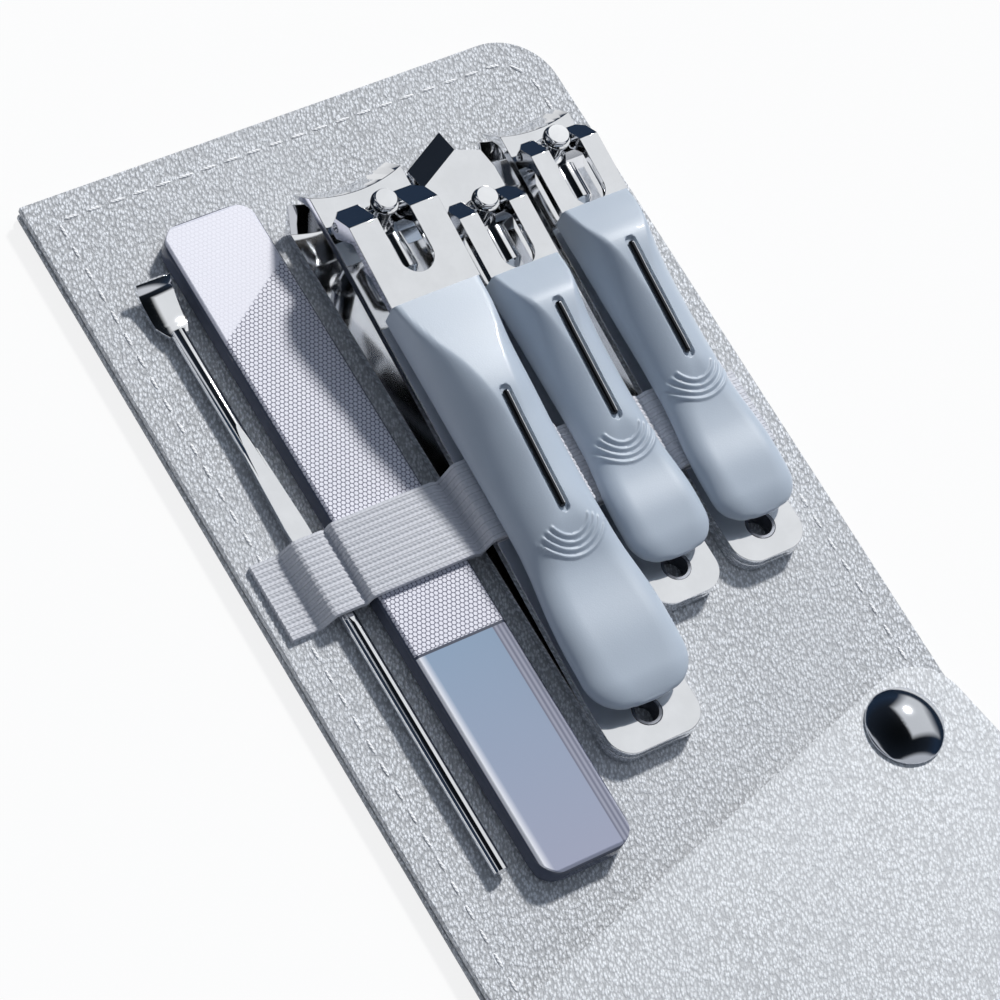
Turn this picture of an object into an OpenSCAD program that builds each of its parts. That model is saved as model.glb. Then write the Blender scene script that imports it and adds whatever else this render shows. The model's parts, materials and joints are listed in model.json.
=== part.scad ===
// Manicure set case: a stitched leatherette panel with a snap flap and an elastic band
// that holds a cuticle pusher, a glass nail file and three lever nail clippers.
// Sizes are in millimetres. +X runs across the panel, +Y towards the tool heads, +Z up.

/* [Panel] */
// Width of the tool panel
panel_w = 73.4; // [72:0.2:78]
// Length of the tool panel, from its bottom edge to its top edge
panel_l = 114; // [112:1:124]
// Thickness of each sheet of leatherette
leather_t = 0.9; // [0.7:0.1:1.1]
// Thickness of the stiff board between the cover and the lining
board_t = 0.6; // [0.5:0.1:1]
// How far the board stays inside the edge of the leatherette
board_inset = 0.8; // [0.5:0.1:1.5]
// Radius of the rounded top right corner
corner_r = 7.5; // [5:0.5:9]

/* [Flap] */
// Distance from the panel's bottom edge down to the line where the flap folds over
fold_drop = 28; // [26:1:34]
// Angle of the flap's long free edge to the panel's bottom edge
flap_rise = 15; // [13:0.5:16]
// How far the flap's tip stays inside the right edge of the panel, before rounding
flap_tip_in = 2.5; // [2:0.1:4]
// Angle by which the flap's right edge leans outwards
flap_flare = 11.8; // [9:0.2:13]
// Radius of the flap's rounded tip
flap_tip_r = 6.5; // [5:0.5:7.5]
// Space between the lining and the flap, taken up by the snap
flap_gap = 1.6; // [1.6:0.1:2.4]
// Thickness of the flap's own lining
flap_lining_t = 0.4; // [0.3:0.1:0.6]

/* [Snap] */
// Distance of the snap's centre from the panel's right edge
snap_in = 10.5; // [10:0.1:12]
// Height of the snap's centre above the panel's bottom edge
snap_y = 10.8; // [10:0.1:11.5]
// Diameter of the snap's domed cap
cap_d = 10; // [8:0.2:10.4]
// Height of the dome above the flap
cap_h = 2.2; // [1.6:0.1:2.8]
// Diameter of the socket ring under the flap
socket_d = 8.6; // [7.4:0.2:9.4]
// Thickness of the socket ring
socket_t = 1.2; // [1:0.05:1.2]
// Diameter of the stud's knob
knob_d = 4.2; // [3.6:0.1:4.6]

/* [Elastic band] */
// Width of the elastic band
band_w = 10.3; // [9:0.1:11]
// Thickness of the elastic band
band_t = 0.8; // [0.6:0.05:0.9]
// Height of the band's middle above the panel's bottom edge
band_y = 55.8; // [55:0.1:57]
// Distance of the sewn ends from the panel's side edges
band_end_in = 1.5; // [1.2:0.1:2]

/* [Cuticle pusher] */
// Place of the pusher across the panel
pusher_x = 8.8; // [8.6:0.1:9.2]
// Height of the pusher's plain end above the panel's bottom edge
pusher_y = 15.6; // [12:0.2:20]
// Overall length of the pusher
pusher_len = 82.8; // [78:0.2:86]
// Diameter of the pusher's rod
pusher_d = 1.9; // [1.6:0.1:2.1]
// Width of the flat grip in the middle of the rod
pusher_flat_w = 2.7; // [2.4:0.1:3]
// Width of the scoop
scoop_w = 4.7; // [4:0.1:5.2]
// Length of the scoop
scoop_len = 7.6; // [6:0.2:9]

/* [Glass file] */
// Place of the file across the panel
file_x = 18.7; // [18.5:0.1:18.9]
// Height of the file's lower end above the panel's bottom edge
file_y = 11.9; // [10:0.2:16]
// Length of the glass file
file_len = 91.8; // [86:0.2:96]
// Width of the glass file
file_w = 12.9; // [12:0.1:13.2]
// Thickness of the glass file
file_t = 3; // [2.4:0.1:3.4]
// Radius of the file's corners
file_corner_r = 3.4; // [2.5:0.1:5]
// Bevel along the file's edges
file_bevel = 0.5; // [0.3:0.1:0.8]

/* [Large clipper] */
// Place of the large clipper across the panel
large_x = 34.9; // [34.7:0.1:35.1]
// Height of its tail above the panel's bottom edge
large_tail_y = 21.2; // [20:0.2:24]
// Its length
large_len = 79; // [76:0.5:82]
// Width of its arms
large_w = 13; // [12.4:0.1:13.2]
// Distance of its post from the cutting edge
large_post_in = 7.9; // [7:0.1:9]
// Height of its lever above the upper arm at the post
large_lever_up = 4.6; // [4.2:0.1:5]
// Distance from its cutting edge to the start of the moulded grip
large_grip_in = 20.6; // [19:0.2:22]
// Height of the grip's hump above the lever
large_hump = 3.6; // [2.8:0.1:4]
// Distance from the start of the grip to its inlay
large_inlay_in = 15.2; // [13:0.2:17]

/* [Slanted clipper] */
// Place of the slanted clipper across the panel
slant_x = 48.5; // [48.4:0.1:48.7]
// Height of its tail above the panel's bottom edge
slant_tail_y = 35.9; // [34:0.2:37]
// Its length
slant_len = 65.2; // [62.6:0.2:66.6]
// Width of its arms
slant_w = 10.2; // [9.6:0.1:10.4]
// Distance of its post from the cutting edge
slant_post_in = 11.8; // [11.2:0.1:12.6]
// Angle of its cutting edge to the panel's width
slant_deg = 27; // [22:1:30]
// Angle by which its jaw is bent down
slant_bend = 24; // [22:1:27]
// Place of the slanted edge's tip across the clipper, as a share of its width
slant_tip = 0.13; // [0.1:0.01:0.18]
// Distance from its cutting edge to the start of the moulded grip
slant_grip_in = 21.4; // [20.2:0.2:22.6]
// Distance from the start of the grip to its inlay
slant_inlay_in = 6.6; // [5.6:0.2:8]

/* [Small clipper] */
// Place of the small clipper across the panel
small_x = 61.4; // [61.2:0.1:61.6]
// Height of its tail above the panel's bottom edge
small_tail_y = 36.5; // [35:0.2:37]
// Its length
small_len = 63.4; // [61.4:0.2:65.4]
// Width of its arms
small_w = 10.2; // [9.6:0.1:10.4]
// Distance of its post from the cutting edge
small_post_in = 6.4; // [6:0.1:7.4]
// Distance from its cutting edge to the start of the moulded grip
small_grip_in = 15.8; // [15:0.2:17.4]
// Distance from the start of the grip to its inlay
small_inlay_in = 7.3; // [5.9:0.2:9]

/* [Both narrow clippers] */
// Height of the lever above the upper arm at the post
narrow_lever_up = 3.7; // [3.5:0.1:4]
// Height of the grip's hump above the lever
narrow_hump = 2.8; // [2.2:0.1:3.2]

/* [Clipper parts] */
// Thickness of the arms
arm_t = 1.2; // [1:0.05:1.3]
// Length of the tail over which both arms lie flat together
tail_flat = 8; // [7:0.5:10]
// Angle at which the upper arm rises from the tail
arm_rise = 6.2; // [5.8:0.1:6.6]
// Angle that the upper arm can be squeezed down
squeeze = 1.5; // [1.2:0.1:1.6]
// Drop of the upper cutting edge below the top of the upper arm
jaw_drop = 3; // [2.6:0.1:3.3]
// Angle by which the upper jaw is bent down
upper_bend = 56; // [50:1:62]
// Angle by which the lower jaw is bent up
lower_bend = 72; // [64:1:76]
// Radius of the curved cutting edges
edge_r = 17; // [15:0.5:22]
// Radius of the tail's corners
tail_r = 3.2; // [2.5:0.1:4]
// Diameter of the post
post_d = 2.9; // [2.6:0.1:3]
// Diameter of the flange under the lower arm
post_flange_d = 5; // [4.4:0.1:5.4]
// Diameter of the cross pin that the lever turns on
pin_d = 1.1; // [1:0.05:1.2]
// Thickness of the lever's plate
lever_t = 1.1; // [1:0.05:1.2]
// Width of the slot in the lever
slot_w = 4.6; // [4.2:0.1:4.8]
// Length of the slot behind the post
slot_len = 9.8; // [8:0.1:10.4]
// Inner diameter of the tail eyelet
eyelet_d = 3; // [2.6:0.1:3.2]
// Wall of the tail eyelet
eyelet_wall = 0.35; // [0.3:0.05:0.45]
// Distance of the eyelet from the end of the tail
eyelet_y = 4.3; // [4:0.1:4.6]

/* [Grips] */
// Distance of the grip's end from the end of the tail
grip_end = 4.6; // [4:0.1:5]
// Width of the grip's bulb as a share of the arm's width
bulb_share = 1.1; // [1.02:0.01:1.12]
// Length of the chrome inlay
inlay_len = 15; // [12:0.2:15.6]
// Width of the chrome inlay
inlay_w = 0.9; // [0.7:0.05:1.1]
// Width of the recess round the inlay
recess_w = 1.5; // [1.4:0.1:1.9]
// Depth of the recess round the inlay
recess_d = 0.5; // [0.4:0.05:0.7]
// Number of raised ridges on the grip
ridge_n = 4; // [3:1:4]
// Distance from one ridge to the next
ridge_pitch = 0.75; // [0.65:0.05:0.8]
// Height of the ridges
ridge_h = 0.28; // [0.2:0.02:0.36]

/* [Clearances] */
// Gap under a tool that lies on the lining
seat_gap = 0.2; // [0.15:0.05:0.3]
// Gap between a tool and the band that holds it
loop_gap = 0.2; // [0.15:0.05:0.25]
// Radial clearance of a turning fit
turn_gap = 0.05; // [0.03:0.01:0.08]
// Radial clearance of a loose fit
loose_gap = 0.4; // [0.3:0.05:0.5]

/* [Hidden] */
$fn = 48;
cut = 0.5;

leather_colour = [0.76, 0.77, 0.8];
flap_colour = [0.84, 0.85, 0.87];
board_colour = [0.42, 0.42, 0.46];
band_colour = [0.74, 0.74, 0.76];
chrome_colour = [0.86, 0.87, 0.89];
grip_colour = [0.56, 0.62, 0.7];
glass_colour = [0.7, 0.75, 0.84];

// Levels of the case, counted from the table
case_t = 2 * leather_t + board_t;
flap_bottom = case_t + flap_gap;
flap_top = flap_bottom + flap_lining_t + leather_t;
fold_r = flap_top / 2;
seat_z = case_t + seat_gap;

// The flap's outline: its tip is where the long edge meets the leaning right edge
flap_tip_x = panel_w - flap_tip_in;
flap_tip_y = flap_tip_x * tan(flap_rise);
fold_w = flap_tip_x + (flap_tip_y + fold_drop) * tan(flap_flare);
snap_x = panel_w - snap_in;
stud_base_t = 0.3;
stud_base_d = knob_d + 3;
rivet_d = 1.8;
rivet_flange_d = 5.4;
cap_shank_d = 2.4;
cap_rim_h = 0.4;
socket_floor = 0.3;

// The middle of the whole object's outline is the origin
mid_x = fold_w / 2;
mid_y = (panel_l - fold_drop - fold_r) / 2;

// Sections and lengths of the pusher
pusher_z = seat_z + pusher_d / 2;
flat_t = 1;
flat_len = 28;
flat_from_head = 49;
scoop_t = 0.6;

// One clipper is [x, tail y, length, width, post in, lever up, grip in, hump, slant, inlay in]
LARGE = [large_x, large_tail_y, large_len, large_w, large_post_in, large_lever_up,
    large_grip_in, large_hump, 0, large_inlay_in];
SLANT = [slant_x, slant_tail_y, slant_len, slant_w, slant_post_in, narrow_lever_up,
    slant_grip_in, narrow_hump, slant_deg, slant_inlay_in];
SMALL = [small_x, small_tail_y, small_len, small_w, small_post_in, narrow_lever_up,
    small_grip_in, narrow_hump, 0, small_inlay_in];
function tail_of(c) = c[1];
function len_of(c) = c[2];
function width_of(c) = c[3];
function post_y(c) = c[2] - c[4];
function grip_y(c) = c[2] - c[6];

// Heights along a clipper, over the underside of its lower arm
function arm_top(y) = 2 * arm_t + max(0, y - tail_flat) * tan(arm_rise);
function lever_top_at_post(c) = arm_top(post_y(c)) + c[5];
band_far = band_y + band_w / 2;
function band_far_y(c) = band_far - tail_of(c);
function slide_slope(c) = (arm_top(band_far_y(c)) - 2 * arm_t) / band_far_y(c);
function band_floor(c, y) = 2 * arm_t + loop_gap + y * slide_slope(c);
function grip_floor(c, y) = band_floor(c, y) + band_t + loop_gap;
lever_skin = 1.2;
function bend_y(c) = post_y(c) - 0.4 * c[5];
function lever_slope(c) = (lever_top_at_post(c) - grip_floor(c, grip_end) - lever_skin)
    / (bend_y(c) - grip_end);
function lever_top(c, y) = lever_top_at_post(c) - (bend_y(c) - y) * lever_slope(c);
function pin_z(c) = lever_top_at_post(c) - 0.58 * c[5];
lever_side_in = 0.2;
tang_share = 0.6;
tang_end = 10;
bead_d = 3.4;
bead_up = 0.55;
bead_nose = 0.9;
edge_t = 0.35;
edge_flat = 0.25;
bend_back = 1.3;

// The upper jaw's lip is bent down from the arm; run is measured along the arm from its bend
lip_l = jaw_drop / sin(upper_bend - arm_rise);
slant_lip_l = 1.03 * jaw_drop;
function slant_of(c) = c[8];
function lip_bend(c) = slant_of(c) > 0 ? slant_bend : upper_bend;
function lip_reach(c) = (slant_of(c) > 0 ? slant_lip_l : lip_l) * cos(lip_bend(c));
function lip_drop(c) = (slant_of(c) > 0 ? slant_lip_l : lip_l) * sin(lip_bend(c));
function edge_run(c) = (len_of(c) - tail_flat - lip_drop(c) * sin(arm_rise)) / cos(arm_rise);
function axis_run(c) = edge_run(c) + axis_ahead(c);
function axis_ahead(c) = sqrt(edge_r^2 - (width_of(c) / 2 - edge_flat)^2);
function crease_run(c) = edge_run(c) - lip_reach(c) / cos(slant_of(c));

// The mouth between the cutting edges closes when the upper arm is squeezed
function lowest_run(c) = slant_of(c) > 0
    ? edge_run(c) - (slant_tip + 0.5) * width_of(c) * tan(slant_of(c)) : axis_run(c) - edge_r;
function upper_edge_z(c) = 2 * arm_t + lowest_run(c) * sin(arm_rise) - lip_drop(c) * cos(arm_rise);
function mouth(c) = (len_of(c) - tail_flat) * sin(squeeze) + 2 * edge_t + turn_gap;
function lower_edge_z(c) = upper_edge_z(c) - mouth(c);
function lower_reach(c) = lower_edge_z(c) / tan(lower_bend);

// A path with its corners rounded: each corner is cut back by d and bridged by a curve
function mix(a, b, t) = a + (b - a) * t;
function cut_back(a, b, d) = a + (b - a) * min(0.45, d / norm(b - a));
function corner_curve(p, q, r, d, n) = let (a = cut_back(q, p, d), b = cut_back(q, r, d))
    [for (i = [0:n]) mix(mix(a, q, i / n), mix(q, b, i / n), i / n)];
function rounded(path, d, n) = [path[0],
    for (i = [1:len(path) - 2]) each corner_curve(path[i - 1], path[i], path[i + 1], d, n),
    path[len(path) - 1]];

// The normal of a path at point i, and the outline of a bar of thickness t on its left
function unit(v) = v / norm(v);
function heading(p, i) = unit(p[min(i + 1, len(p) - 1)] - p[max(i - 1, 0)]);
function left_of(p, i) = [-heading(p, i)[1], heading(p, i)[0]];
function offset_path(p, t) = [for (i = [0:len(p) - 1]) p[i] + left_of(p, i) * t];
function reversed(p) = [for (i = [len(p) - 1:-1:0]) p[i]];
function bar_outline(p, t) = concat(p, reversed(offset_path(p, t)));

// A smooth curve through [position, value] keys
function key_after(k, s, i = 1) = i >= len(k) - 1 || s <= k[i][0] ? i : key_after(k, s, i + 1);
function tangent(k, i) = let (a = k[max(i - 1, 0)], b = k[min(i + 1, len(k) - 1)])
    (b[1] - a[1]) / (b[0] - a[0]);
function through(k, s) = let (i = key_after(k, s), a = k[i - 1], b = k[i], w = b[0] - a[0],
        t = (s - a[0]) / w)
    a[1] * (2 * t^3 - 3 * t^2 + 1) + w * tangent(k, i - 1) * (t^3 - 2 * t^2 + t)
    + b[1] * (3 * t^2 - 2 * t^3) + w * tangent(k, i) * (t^3 - t^2);

// Places the panel's bottom left corner so that the origin is the middle of the object
module in_case() {
    translate([-mid_x, -mid_y, 0]) children();
}

// Places a clipper's own frame: y from its tail, z from the underside of its lower arm
module on_panel(c) {
    in_case() translate([c[0], c[1], seat_z]) children();
}

// Extrudes a drawing in the y-z plane to both sides of x = 0
module across(w) {
    rotate([90, 0, 90]) translate([0, 0, -w / 2]) linear_extrude(w) children();
}

// The panel's outline with its rounded top right corner, from y0 upwards
module panel_shape(y0, inset) {
    r = corner_r - inset;
    right = panel_w - inset;
    top = panel_l - inset;
    translate([inset, y0]) square([right - inset - r, top - y0]);
    translate([inset, y0]) square([right - inset, top - r - y0]);
    translate([right - r, top - r]) circle(r);
}

// The tab of the cover below the panel, which widens towards the fold
module tab_shape() {
    polygon([[0, -fold_drop], [fold_w, -fold_drop], [panel_w, 0], [0, 0]]);
}

// The flap's outline with its rounded tip
module flap_shape() {
    half = (90 - flap_rise + flap_flare) / 2;
    back = flap_tip_r / tan(half);
    a = [flap_tip_x - back * cos(flap_rise), flap_tip_y - back * sin(flap_rise)];
    b = [flap_tip_x + back * sin(flap_flare), flap_tip_y - back * cos(flap_flare)];
    centre = a + flap_tip_r * [sin(flap_rise), -cos(flap_rise)];
    polygon([[0, -fold_drop], [fold_w, -fold_drop], b, centre, a, [0, 0]]);
    translate(centre) circle(flap_tip_r);
}

module outer_cover() {
    color(leather_colour) in_case() linear_extrude(leather_t) {
        panel_shape(0, 0);
        tab_shape();
    }
}

module board() {
    color(board_colour) in_case() translate([0, 0, leather_t]) difference() {
        linear_extrude(board_t) panel_shape(board_inset, board_inset);
        translate([snap_x, snap_y, -cut])
            cylinder(d = rivet_flange_d + 2 * turn_gap, h = board_t + 2 * cut);
    }
}

module lining_panel() {
    color(leather_colour) in_case() translate([0, 0, leather_t + board_t]) difference() {
        linear_extrude(leather_t) panel_shape(0, 0);
        translate([snap_x, snap_y, -cut])
            cylinder(d = rivet_d + 2 * turn_gap, h = leather_t + 2 * cut);
    }
}

// The leather bent round the fold line, half a turn from the cover to the flap
module flap_fold() {
    color(flap_colour) in_case() translate([0, -fold_drop, fold_r])
        rotate([90, 0, 90]) linear_extrude(fold_w) difference() {
            circle(fold_r);
            circle(fold_r - leather_t);
            translate([0, -2 * fold_r]) square([2 * fold_r, 4 * fold_r]);
        }
}

// A layer of the flap, with the hole for the cap's shank
module flap_layer(z, t) {
    in_case() translate([0, 0, z]) difference() {
        linear_extrude(t) flap_shape();
        translate([snap_x, snap_y, -cut])
            cylinder(d = cap_shank_d + 2 * turn_gap, h = t + 2 * cut);
    }
}

module flap_outer() {
    color(flap_colour) flap_layer(flap_top - leather_t, leather_t);
}

module flap_lining() {
    color(leather_colour) flap_layer(flap_bottom, flap_lining_t);
}

// A dome with a plain rim, and the shank that is riveted into the socket
module snap_cap() {
    dome_h = cap_h - cap_rim_h;
    dome_r = (dome_h^2 + (cap_d / 2)^2) / (2 * dome_h);
    dome_deg = asin(cap_d / 2 / dome_r);
    shank = leather_t + flap_lining_t + socket_floor;
    color(chrome_colour) in_case() translate([snap_x, snap_y, flap_top]) rotate_extrude($fn = 64)
        polygon(concat([[0, -shank], [cap_shank_d / 2, -shank], [cap_shank_d / 2, 0],
            [cap_d / 2, 0]], [for (i = [8:-1:0]) let (a = dome_deg * i / 8)
            [dome_r * sin(a), cap_h - dome_r * (1 - cos(a))]]));
}

// The ring under the flap: its deep side takes the knob, its floor holds the cap's shank
module snap_socket() {
    r = socket_d / 2;
    bore = knob_d / 2 + 2 * turn_gap;
    lip = cap_shank_d / 2 + turn_gap;
    deep = socket_t - socket_floor;
    color(chrome_colour) in_case() translate([snap_x, snap_y, flap_bottom - socket_t])
        rotate_extrude($fn = 64) polygon([[bore, 0], [r - 0.3, 0], [r, 0.3], [r, socket_t - 0.3],
            [r - 0.3, socket_t], [lip, socket_t], [lip, deep], [bore, deep]]);
}

module snap_stud() {
    knob_top = flap_gap - socket_floor - 2 * turn_gap;
    base = min(stud_base_t, flap_gap - socket_t - turn_gap);
    hole = rivet_d / 2 + turn_gap;
    roof = knob_top - 0.25;
    color(chrome_colour) in_case() translate([snap_x, snap_y, case_t]) rotate_extrude($fn = 48)
        polygon([[hole, 0], [stud_base_d / 2, 0], [stud_base_d / 2, base],
            [knob_d / 2 - 0.3, base], [knob_d / 2, base + 0.2], [knob_d / 2, knob_top - 0.2],
            [knob_d / 2 - 0.3, knob_top], [0, knob_top], [0, roof], [hole, roof]]);
}

// The rivet that holds the stud: its flange lies in the board's hole
module snap_rivet() {
    color(chrome_colour) in_case() translate([snap_x, snap_y, leather_t]) {
        cylinder(d = rivet_flange_d, h = board_t);
        cylinder(d = rivet_d, h = board_t + leather_t + flap_gap / 2 - 2 * turn_gap, $fn = 32);
    }
}

// One loop's inner face over a tool: shoulders at its sides, at height z
function loop_over(x, w, z) = [[x - w / 2 - loop_slack, z], [x + w / 2 + loop_slack, z]];
function clipper_loop(c, y) = loop_over(c[0], width_of(c), seat_z + band_floor(c, y - tail_of(c)));
function loops(y) = concat(
    loop_over(pusher_x, pusher_flat_w, seat_z + pusher_d + loop_gap),
    loop_over(file_x, file_w, seat_z + file_t + loop_gap),
    clipper_loop(LARGE, y), clipper_loop(SLANT, y), clipper_loop(SMALL, y));
loop_slack = loop_gap + 0.25;
loop_foot = 1.5;

// Between two tools the band sags a little, and past the outer ones it runs to its sewn ends.
// The outer face is the same route raised by t, its shoulders widened on their free sides
function lean(a, b) = a[1] > b[1] ? 0.45 : -0.45;
function sag(a, b, t) = [(a[0] + b[0] + lean(a, b) * t) / 2,
    min(a[1], b[1]) - 0.35 * (b[0] - a[0]) + t];
function gap_route(a, b, t) = let (k = lean(a, b) * t)
    [[a[0] + max(k, 0), a[1] + t], sag(a, b, t), [b[0] + min(k, 0), b[1] + t]];
function band_route(y, t) = let (p = loops(y), n = len(p) - 1, k = 0.5 * t) concat(
    [[band_end_in, case_t + t], [p[0][0] - loop_foot - k, case_t + t], [p[0][0] - k, p[0][1] + t]],
    [for (i = [1:2:n - 2]) each gap_route(p[i], p[i + 1], t)],
    [[p[n][0] + k, p[n][1] + t], [p[n][0] + loop_foot + k, case_t + t],
    [panel_w - band_end_in - 1, case_t + t]]);
function band_section(y) = concat(rounded(band_route(y, 0), 0.5, 3),
    reversed(rounded(band_route(y, band_t), 0.5, 3)));

module elastic_band() {
    near = band_section(band_y - band_w / 2);
    far = band_section(band_far);
    n = len(near);
    points = concat([for (p = near) [p[0], band_y - band_w / 2, p[1]]],
        [for (p = far) [p[0], band_far, p[1]]]);
    sides = [for (i = [0:n - 1]) let (j = (i + 1) % n) each [[i, n + j, j], [i, n + i, n + j]]];
    ends = [[for (i = [0:n - 1]) i], [for (i = [n - 1:-1:0]) n + i]];
    color(band_colour) in_case() polyhedron(points, concat(sides, ends));
}

// The rod is beaten flat in its middle, and ends in a scoop that curls up at its tip
module cuticle_pusher() {
    head = pusher_len - scoop_len;
    flat_y = pusher_len - flat_from_head;
    color(chrome_colour) in_case() translate([pusher_x, pusher_y, pusher_z]) {
        difference() {
            rotate([-90, 0, 0]) cylinder(d = pusher_d, h = head + cut);
            for (side = [-1, 1]) across(2 * pusher_d) polygon([
                [flat_y, side * pusher_d], [flat_y, side * pusher_d / 2],
                [flat_y + flat_len / 4, side * flat_t / 2],
                [flat_y + flat_len * 3 / 4, side * flat_t / 2],
                [flat_y + flat_len, side * pusher_d / 2], [flat_y + flat_len, side * pusher_d]]);
        }
        translate([0, flat_y, -flat_t / 2]) linear_extrude(flat_t) polygon([
            [-pusher_d / 2, flat_len / 8], [pusher_d / 2, flat_len / 8],
            [pusher_flat_w / 2, flat_len * 0.42], [pusher_flat_w / 2, flat_len * 0.5],
            [pusher_d / 2, flat_len * 7 / 8], [-pusher_d / 2, flat_len * 7 / 8],
            [-pusher_flat_w / 2, flat_len * 0.5], [-pusher_flat_w / 2, flat_len * 0.42]]);
        scoop(head);
    }
}

module scoop(head) {
    curl = [[0, 0], [scoop_len * 0.3, -pusher_d * 0.2], [scoop_len * 0.8, pusher_d * 0.1],
        [scoop_len, pusher_d * 0.8]];
    translate([0, head, -scoop_t / 2]) intersection() {
        across(scoop_w) polygon(bar_outline(rounded(curl, scoop_len / 5, 6), scoop_t));
        translate([0, 0, -pusher_d]) linear_extrude(4 * pusher_d) polygon([
            [-pusher_d / 2, -cut], [pusher_d / 2, -cut], [scoop_w * 0.46, scoop_len * 0.25],
            [scoop_w / 2, scoop_len], [-scoop_w / 2, scoop_len],
            [-scoop_w * 0.46, scoop_len * 0.25]]);
    }
}

// A glass blade with round corners and bevelled edges
module glass_file() {
    r = file_corner_r;
    color(glass_colour) in_case() translate([file_x - file_w / 2, file_y, seat_z])
        intersection() {
            linear_extrude(file_t) {
                translate([r, 0]) square([file_w - 2 * r, file_len]);
                translate([0, r]) square([file_w, file_len - 2 * r]);
                for (x = [r, file_w - r], y = [r, file_len - r]) translate([x, y]) circle(r);
            }
            bevelled_bar(file_w, file_len);
            translate([file_w, 0, 0]) rotate(90) bevelled_bar(file_len, file_w);
        }
}

// A bar along +y whose long edges are bevelled
module bevelled_bar(w, l) {
    b = file_bevel;
    translate([0, l, 0]) rotate([90, 0, 0]) linear_extrude(l) polygon([
        [b, 0], [w - b, 0], [w, b], [w, file_t - b], [w - b, file_t], [b, file_t],
        [0, file_t - b], [0, b]]);
}

// The outline of an arm seen from above, with round tail corners, up to y_end
module arm_plan(c, y_end) {
    w = width_of(c);
    translate([-w / 2 + tail_r, 0]) square([w - 2 * tail_r, y_end]);
    translate([-w / 2, tail_r]) square([w, y_end - tail_r]);
    for (side = [-1, 1]) translate([side * (w / 2 - tail_r), tail_r]) circle(tail_r);
}

// The head of the slanted clipper's arm: a cut right corner, and a lip in front of the crease
module slant_head(c, y, reach) {
    w = width_of(c);
    x = slant_tip * w;
    lip = reach / cos(slant_of(c));
    polygon([[-w, -len_of(c)], [w, -len_of(c)], [w, y - w * 0.45], [w * 0.52, y - w * 0.45],
        [w * 0.44, y - w * 0.11], [x, y], [x, y + lip], [-w, y + lip - (x + w) * tan(slant_of(c))]]);
}

// Cuts a jaw's lip, bent by drop over reach, from a thick head whose outer face is z = 0:
// what is outside the bend, and the hollow behind the lip, which thins to the cutting edge
module jaw_cuts(c, reach, drop) {
    w = width_of(c);
    k = drop / reach;
    inner = arm_t * tan(atan(k) / 2);
    far = reach + 1;
    thin = (drop + edge_t - arm_t) / (reach + inner);
    outer = [[-1 / k, 1], [far, 1], [far, -drop - k]];
    hollow = [[-inner, -arm_t], [far, -arm_t - (far + inner) * thin], [far, -2 * w],
        [-w, -2 * w], [-w, -arm_t]];
    for (outline = [outer, hollow]) {
        if (slant_of(c) > 0) rotate([0, 0, slant_of(c)]) across(4 * w) polygon(outline);
        else rotate_extrude($fn = 96)
            polygon([for (p = outline) [edge_r + reach - p[0], p[1]]]);
    }
}

// Where the thick head of a blank starts, measured back from its end
function head_back(c, reach) = reach + arm_t + width_of(c) * tan(slant_of(c)) + edge_r - axis_ahead(c);

module eyelet_hole(z, h) {
    translate([0, eyelet_y, z]) cylinder(d = eyelet_d + 2 * eyelet_wall + 2 * turn_gap, h = h);
}

module lower_arm(c) {
    w = width_of(c);
    l = len_of(c);
    reach = lower_reach(c);
    edge = lower_edge_z(c);
    slant = slant_of(c);
    crease_y = l - reach / cos(slant);
    deep = edge + 2 * edge_t;
    start = l - head_back(c, reach);
    color(chrome_colour) on_panel(c) difference() {
        intersection() {
            across(w) polygon([[0, 0], [l, 0], [l, deep], [start, deep], [start, arm_t],
                [0, arm_t]]);
            translate([0, 0, -cut]) linear_extrude(2 * deep) intersection() {
                arm_plan(c, l + cut);
                if (slant > 0) slant_head(c, crease_y, reach);
            }
        }
        mirror([0, 0, 1]) translate(slant > 0 ? [slant_tip * w, crease_y, 0]
            : [0, l + axis_ahead(c), 0]) jaw_cuts(c, reach, edge);
        if (slant == 0) translate([0, l + axis_ahead(c), -cut])
            cylinder(r = edge_r, h = 2 * deep, $fn = 96);
        eyelet_hole(-cut, arm_t + 2 * cut);
        translate([0, post_y(c), -cut]) {
            cylinder(d = post_d + 2 * turn_gap, h = arm_t + 2 * cut);
            cylinder(d = post_flange_d + 2 * turn_gap, h = cut + arm_t / 2);
        }
    }
}

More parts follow.
